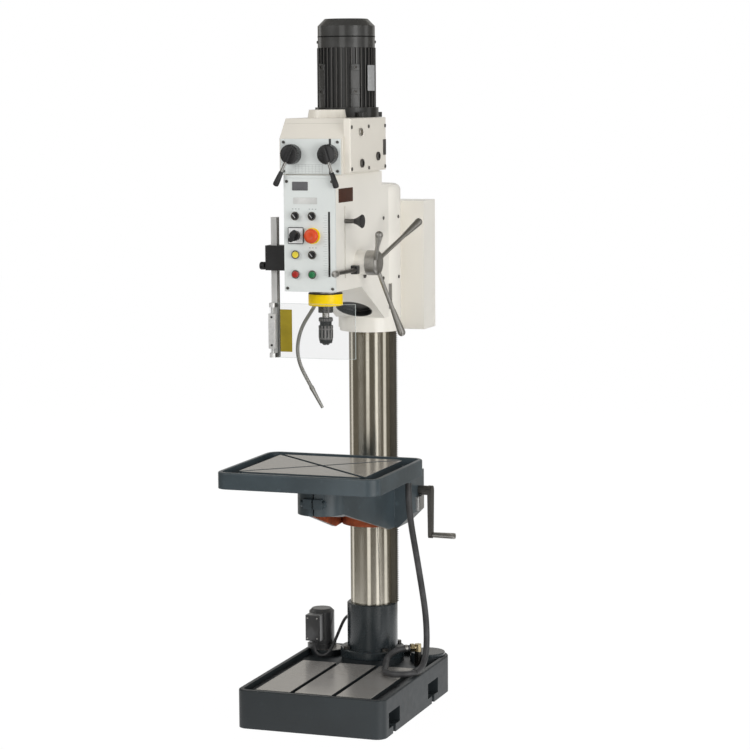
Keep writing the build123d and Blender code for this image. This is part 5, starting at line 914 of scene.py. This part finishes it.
# A thin near-black ring round the cowl's seam is painted shadow in the joint.
seam_rows = [(COWL_SEAM_Z + rise, COWL_R - SEAM_IN + lift) for rise, lift in SEAM_ROWS]
fit(turned("cowl_seam_shadow", (0, MOTOR_Y, 0), UP, seam_rows, sides=96),
    moulded("seam_shadow", SEAM_SHADOW, rough=0.7, shine=0.1), "motor_paint", "frame")
for screw_angle in COWL_SCREW_ANGLES:
    screw_spot, _, screw_out = on_motor(screw_angle, COWL_R, COWL_SCREW_Z)
    fit(turned("cowl_screw", screw_spot, screw_out, dome(COWL_SCREW_R, COWL_SCREW_RISE), sides=20),
        dark_steel, "dark_steel", "frame")
for foot_angle in FOOT_ANGLES:
    foot_spot, foot_across, foot_out = on_motor(foot_angle, MOTOR_R - FOOT_IN, (FOOT_LOW + FOOT_HIGH) / 2)
    fit(slab("motor_foot_face", foot_spot, foot_across, UP, (FOOT_W, FOOT_HIGH - FOOT_LOW),
             FIN_R - MOTOR_R + FOOT_IN, FOOT_CORNER, FOOT_EDGE), motor_black, "motor_paint", "frame")
    for pad_z in PAD_HEIGHTS:
        pad_spot = on_motor(foot_angle, FIN_R, pad_z)[0]
        fit(slab("motor_foot_pad", pad_spot, foot_across, UP, PAD_SIZE, PAD_T, PAD_CORNER, PAD_EDGE),
            motor_black, "motor_paint", "frame")
        hole_spot = on_motor(foot_angle, FIN_R + PAD_T, pad_z)[0]
        fit(turned("motor_foot_hole", hole_spot, foot_out, PAD_HOLE, sides=24), dark_steel, "dark_steel",
            "frame")
plate_spot, plate_across, _ = on_motor(PLATE_ANGLE, PLATE_R, PLATE_Z)
fit(slab("motor_plate_blank", plate_spot, plate_across, UP, *PLATE_FORM),
    ground_steel("motor_plate", PLATE_GREY, rough=0.42, grain=160, metal=0.6), "post_aluminium", "frame")


# Panel: a pale painted plate on the head with the switches, and the depth scale printed beside the
# slot where the pointer runs. Two small plain plates are stuck on above the switches.
PANEL_GREY = (0.70, 0.73, 0.71)
INK_AND_SHADE = (0.03, 0.03, 0.03)
POINTER_WHITE, ISOLATOR_WHITE = (0.50, 0.50, 0.49), (0.80, 0.80, 0.79)
STOP_RED, PILOT_YELLOW = (0.70, 0.070, 0.012), (0.72, 0.58, 0.05)
PANEL_FACE = -0.490
SCALE_LOW, SCALE_HIGH, SCALE_RIGHT, SCALE_END = 1.280, 1.445, 0.0515, 0.001
TICK, SHORT_TICK, LONG_TICK, TICK_HALF = 0.0065, 0.008, 0.012, 0.0004
SCALE_INK, CHART_INK, PRINT_SOFT = 0.45, 0.5, 0.0001
SLOT_X, SLOT_HALF, SLOT_FROM, SLOT_TO = 0.057, 0.0033, 0.0003, 0.0006
CHART_X, CHART_Z = (-0.045, 0.035), (1.557, 1.581)
CHART_COLUMN, CHART_ROW, CHART_HALF = 0.010, 0.006, 0.0003
DASH_SPOTS = ((-0.040, 1.460), (0.009, 1.460), (0.009, 1.354))
DASH_PITCH, DASH_HALF, DASH_REACH, DASH_RISE = 0.009, 0.002, 0.0115, 0.0006
STRIP_PLACE, STRIP_FORM = (0.0, -0.484, 1.548), ((0.150, 0.008), 0.006, 0.0008, 0.0004)
TOP_PLATES = (("maker_plate_blank", (-0.027, PANEL_FACE, 1.5225), (0.046, 0.024), (0.10, 0.10, 0.105)),
              ("notice_plate_blank", (-0.012, PANEL_FACE, 1.4825), (0.070, 0.018), (0.58, 0.58, 0.56)))
TOP_PLATE_T, TOP_PLATE_CORNER, TOP_PLATE_EDGE = 0.0008, 0.002, 0.0003
SELECTORS = ("coolant_selector", "light_selector", "mode_selector")
POINTER_TURN, POINTER_FORM = math.radians(40), ((0.0020, 0.012), 0.0004, 0.0006, 0.0002)
ISOLATOR_SPOT, ISOLATOR_W, ISOLATOR_BORDER = (-0.040, 1.387), 0.046, 0.0022
ISOLATOR_T, ISOLATOR_CORNER, ISOLATOR_EDGE, BORDER_SOFT = 0.0034, 0.003, 0.0008, 0.0002
HANDLE_TURN, HANDLE_FORM = math.radians(28), ((0.013, 0.036), 0.007, 0.005, 0.002)
BUTTONS = (("stop_button", (0.38, 0.018, 0.012), "red_plastic"),
           ("start_button", (0.012, 0.15, 0.05), "green_plastic"))
CAP_FOOT_R, CAP_R, CAP_SIDE = 0.0088, 0.0090, 0.0050
MUSHROOM_STEM = ((0, 0.010), (0.0098, 0.010), (0.0100, 0.0192), (0.0112, 0.0200), (0.0150, 0.0200))
MUSHROOM_SIDE, MUSHROOM_RISE, MUSHROOM_FLAT, MUSHROOM_ROUND = 0.0150, 0.0085, 0.0095, 0.0105
MUSHROOM_DISH = ((0.0228, 0.0080), (0.0226, 0.0010))


def near(value, pitch, half):
    """1 within half a line's width of each multiple of a pitch, with edges soft by a fifth of it."""
    return 1 - value.math("PINGPONG", value, pitch / 2).rises(half * 0.8, half * 1.2)


def print_and_slot_shade(place):
    """1 where the panel is printed, and in the scale's slot, which is painted dark as shade: scale ticks, the
    slot, a ruled chart, dashes.
    """
    x, y, z = axes(place)
    rule = z - SCALE_LOW
    short_ticks = near(rule, TICK, TICK_HALF) * x.within(SCALE_RIGHT - SHORT_TICK, SCALE_RIGHT, PRINT_SOFT)
    long_ticks = near(rule, 2 * TICK, TICK_HALF) * x.within(SCALE_RIGHT - LONG_TICK, SCALE_RIGHT, PRINT_SOFT)
    ticks = short_ticks.greatest(long_ticks)
    ticks = ticks * z.within(SCALE_LOW - SCALE_END, SCALE_HIGH + SCALE_END, PRINT_SOFT)
    # The inside of the slot, behind the panel's face, is painted dark as shade.
    slot = (x - SLOT_X).nearer(SLOT_HALF, PRINT_SOFT) * (y - PANEL_FACE).rises(SLOT_FROM, SLOT_TO)
    chart = near(x - CHART_X[0], CHART_COLUMN, CHART_HALF)
    chart = chart.greatest(near(z - CHART_Z[0], CHART_ROW, CHART_HALF))
    chart = chart * x.within(CHART_X[0] - CHART_HALF, CHART_X[1] + CHART_HALF, PRINT_SOFT)
    chart = chart * z.within(CHART_Z[0] - CHART_HALF, CHART_Z[1] + CHART_HALF, PRINT_SOFT)
    ink = (SCALE_INK * ticks).greatest(slot, CHART_INK * chart)
    for dash_x, dash_z in DASH_SPOTS:
        dash = near(x - dash_x, DASH_PITCH, DASH_HALF) * (x - dash_x).nearer(DASH_REACH, 2 * PRINT_SOFT)
        ink = ink.greatest(dash * (z - dash_z).nearer(DASH_RISE, PRINT_SOFT))
    return ink


def isolator_border(place):
    """1 on the black border of the isolator's plate."""
    x, _, z = axes(place)
    square = abs(x - ISOLATOR_SPOT[0]).greatest(abs(z - ISOLATOR_SPOT[1]))
    edge = ISOLATOR_W / 2 - ISOLATOR_BORDER
    return square.rises(edge - BORDER_SOFT, edge + BORDER_SOFT)


def face_middles(node):
    """The middles of the front and the rear of a node's box."""
    (low_x, low_y, low_z), (high_x, high_y, high_z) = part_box(node)
    middle_x, middle_z = (low_x + high_x) / 2, (low_z + high_z) / 2
    return (middle_x, low_y, middle_z), (middle_x, high_y, middle_z)


panel_paint = enamel("panel_paint", PANEL_GREY, (print_and_slot_shade, INK_AND_SHADE))
wear(nodes["front_panel"], panel_paint)
fit(slab("panel_top_strip", STRIP_PLACE, RIGHT, UP, *STRIP_FORM), panel_paint, "panel_paint", "frame")
wear(nodes["control_bezels"], chrome)
for plate_name, plate_place, plate_size, plate_colour in TOP_PLATES:
    fit(slab(plate_name, plate_place, RIGHT, UP, plate_size, TOP_PLATE_T, TOP_PLATE_CORNER, TOP_PLATE_EDGE),
        moulded(plate_name + "_finish", plate_colour, rough=0.32), "panel_paint", "frame")
pointer_white = moulded("pointer_white", POINTER_WHITE)
pointer_across = (math.cos(POINTER_TURN), 0, math.sin(POINTER_TURN))
pointer_up = (-pointer_across[2], 0, pointer_across[0])
for selector in SELECTORS:
    wear(nodes[selector], black_plastic)
    selector_front, _ = face_middles(selector)
    fit(slab(selector + "_pointer", selector_front, pointer_across, pointer_up, *POINTER_FORM), pointer_white,
        "panel_paint", selector)
fit(slab("isolator_plate", (ISOLATOR_SPOT[0], PANEL_FACE, ISOLATOR_SPOT[1]), RIGHT, UP,
         (ISOLATOR_W, ISOLATOR_W), ISOLATOR_T, ISOLATOR_CORNER, ISOLATOR_EDGE),
    enamel("isolator_white", ISOLATOR_WHITE, (isolator_border, INK_AND_SHADE)), "panel_paint", "frame")
wear(nodes["isolator_knob"], black_plastic)
knob_front, _ = face_middles("isolator_knob")
handle_across = (math.cos(HANDLE_TURN), 0, -math.sin(HANDLE_TURN))
handle_up = (-handle_across[2], 0, handle_across[0])
fit(slab("isolator_handle", knob_front, handle_across, handle_up, *HANDLE_FORM), black_plastic,
    "black_plastic", "isolator_knob")
for button, button_colour, button_slot in BUTTONS:
    button_front, button_rear = face_middles(button)
    cap_top = dome(CAP_R, button_rear[1] - button_front[1] - CAP_SIDE, steps=7)
    cap_rows = [(0, CAP_FOOT_R), (CAP_SIDE, CAP_R)] + [(CAP_SIDE + rise, radius) for rise, radius in cap_top]
    fit(turned(button + "_cap", button_rear, FORWARD, cap_rows),
        moulded(button + "_plastic", button_colour, rough=0.26, grain=300, depth=0.00002, coat=0.4),
        button_slot, button, button)
_, stop_rear = face_middles("estop_button")
head_lean = np.linspace(0, 0.5 * math.pi, 7)
head_rows = tuple(zip(MUSHROOM_SIDE + MUSHROOM_RISE * np.sin(head_lean),
                      MUSHROOM_FLAT + MUSHROOM_ROUND * np.cos(head_lean)))
fit(turned("estop_mushroom", stop_rear, FORWARD, MUSHROOM_STEM + head_rows + MUSHROOM_DISH, sides=56),
    moulded("estop_red", STOP_RED, rough=0.34, grain=300, depth=0.00002, coat=0.2, shine=0.4),
    "red_plastic", "estop_button", "estop_button")
wear(nodes["estop_ring"], enamel("estop_yellow", YELLOW, coat=0.0, shine=0.2))
wear(nodes["pilot_lamp"], moulded("pilot_yellow", PILOT_YELLOW, rough=0.24, grain=300, depth=0.00002,
                                  coat=0.4))


# Guard: a square aluminium post that slides and turns in a black bracket, and the clear polycarbonate
# shield, screwed to it through a hinge strap. A plain olive plate is stuck to the shield.
POST_GREY, POST_SIDE_SHADE = (0.72, 0.72, 0.71), (0.06, 0.06, 0.06)
HINGE_GREY = (0.70, 0.70, 0.69)
OLIVE = (0.27, 0.205, 0.012)
CLEAR_FLAT, CLEAR_EDGE = (0.22, 0.24, 0.24), (0.62, 0.68, 0.66)
SHIELD_LOW, SHIELD_HIGH, SHIELD_END = 1.045, 1.197, 0.114
SHIELD_FACE = -0.458
EDGE_INNER, EDGE_OUTER = 0.0012, 0.0004
POST_SOFT = 0.0004
HINGE_X, HINGE_SIZE, HINGE_T = -0.125, (0.020, 0.098), 0.008
HINGE_CORNER, HINGE_EDGE = 0.002, 0.001
HINGE_Z, HINGE_SCREWS = 1.119, (1.158, 1.080)
HINGE_SCREW_R, HINGE_SCREW_RISE = 0.0032, 0.002
GUARD_BLANK_X, GUARD_BLANK_Z = -0.0845, 1.121
GUARD_BLANK_FORM = ((0.035, 0.118), 0.0006, 0.001, 0.0002)

post_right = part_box("guard_post")[1][0]


def post_side_shade(place):
    """1 on the post's right face, which is painted dark as shade."""
    return axes(place)[0].rises(post_right - 2 * POST_SOFT, post_right - POST_SOFT)


post_aluminium = ground_steel("post_aluminium", POST_GREY, rough=0.36, grain=120, lines=(1, 1, 0.1),
                              metal=0.45, shade=(post_side_shade, POST_SIDE_SHADE))
wear(nodes["guard_post"], post_aluminium)
wear(nodes["guard_bracket"], black_plastic)
clear, clear_shader, clear_place = new_material("clear_sheet")
clear_x, _, clear_z = axes(clear_place)
clear_edge = clear_z.rises(SHIELD_HIGH - EDGE_INNER, SHIELD_HIGH - EDGE_OUTER).greatest(
    clear_x.rises(SHIELD_END - EDGE_INNER, SHIELD_END - EDGE_OUTER),
    1 - clear_z.rises(SHIELD_LOW + EDGE_OUTER, SHIELD_LOW + EDGE_INNER))
dress(clear_shader, {"Base Color": mix(clear_edge, coloured(CLEAR_FLAT), coloured(CLEAR_EDGE)),
                     "Roughness": 0.06 + 0.05 * cloud(clear_place, 12), "Alpha": 0.08 + 0.45 * clear_edge})
wear(nodes["guard_shield"], clear)
fit(slab("guard_hinge_strap", (HINGE_X, SHIELD_FACE, HINGE_Z), RIGHT, UP, HINGE_SIZE, HINGE_T, HINGE_CORNER,
         HINGE_EDGE), ground_steel("hinge_aluminium", HINGE_GREY, rough=0.36, grain=120, metal=0.45),
    "post_aluminium", "guard_shield")
for hinge_screw_z in HINGE_SCREWS:
    fit(turned("guard_hinge_screw", (HINGE_X, SHIELD_FACE - HINGE_T, hinge_screw_z), FORWARD,
               dome(HINGE_SCREW_R, HINGE_SCREW_RISE), sides=20), black_plastic, "black_plastic",
        "guard_shield")
fit(slab("guard_plate_blank", (GUARD_BLANK_X, SHIELD_FACE, GUARD_BLANK_Z), RIGHT, UP, *GUARD_BLANK_FORM),
    moulded("olive_plate", OLIVE, rough=0.5, shine=0.2), "panel_paint", "guard_shield")


# Coolant gooseneck: a bendable arm of wound steel strip, screwed into the head beside the quill, with
# a tapered nozzle on its end.
NECK_STEEL = (0.50, 0.50, 0.48)
NECK_ROUTE = np.array(((-36, -322, 1211), (-46, -328, 1184), (-62, -335, 1157), (-77, -342.5, 1131),
                       (-86, -350, 1105), (-89.5, -357, 1079), (-89.5, -362, 1058), (-86, -366, 1038),
                       (-79.5, -369, 1018), (-69, -371.5, 997), (-57, -373, 977), (-44.5, -374, 956))) * MM
NECK_TOP, NECK_R, NECK_PITCH, NECK_RIB = 1.233, 0.0052, 0.0055, 0.0005
RINGS_TO_A_RIB, END_RINGS = 6, 4
NECK_SOCKET = ((0, 0.0085), (0.020, 0.0085), (0.022, 0.0075), (0.033, 0.0062))
NECK_NOZZLE = ((0, 0.0065), (0.010, 0.0065), (0.013, 0.0058), (0.066, 0.0042), (0.068, 0.0036),
               (0.068, 0.0020))

neck_line = line_points(NECK_ROUTE)
neck_run = run_along(neck_line)
neck_along = np.linspace(0, neck_run[-1], int(neck_run[-1] / NECK_PITCH * RINGS_TO_A_RIB))
neck_path = np.stack([np.interp(neck_along, neck_run, neck_line[:, axis]) for axis in range(3)], -1)
neck_size = NECK_R + NECK_RIB * np.cos(2 * math.pi * neck_along / NECK_PITCH)
neck_finish = ground_steel("neck_steel", NECK_STEEL, rough=0.30, grain=200)
fit(carried("gooseneck_ribs", neck_path, neck_size), neck_finish, "neck_grey", "frame", "coolant_gooseneck")
fit(turned("gooseneck_socket", (*neck_path[0, :2], NECK_TOP), DOWN, NECK_SOCKET, sides=32), neck_finish,
    "neck_grey", "frame", "coolant_gooseneck")
neck_end, neck_end_way = neck_path[-1], neck_path[-1] - neck_path[-1 - END_RINGS]
fit(turned("gooseneck_nozzle", neck_end, neck_end_way, NECK_NOZZLE, sides=32), neck_finish, "neck_grey",
    "frame", "coolant_gooseneck")


# Cabinet: a folded sheet steel box on the back of the head with a hinged door, both in the same enamel
# as the head, painted whiter as painted light.
CABINET_LIT_WHITE = (0.87, 0.84, 0.77)

cabinet_lit_white = enamel("cabinet_lit_white", CABINET_LIT_WHITE)
for cabinet_node in ("cabinet_box", "cabinet_door"):
    wear(nodes[cabinet_node], cabinet_lit_white)
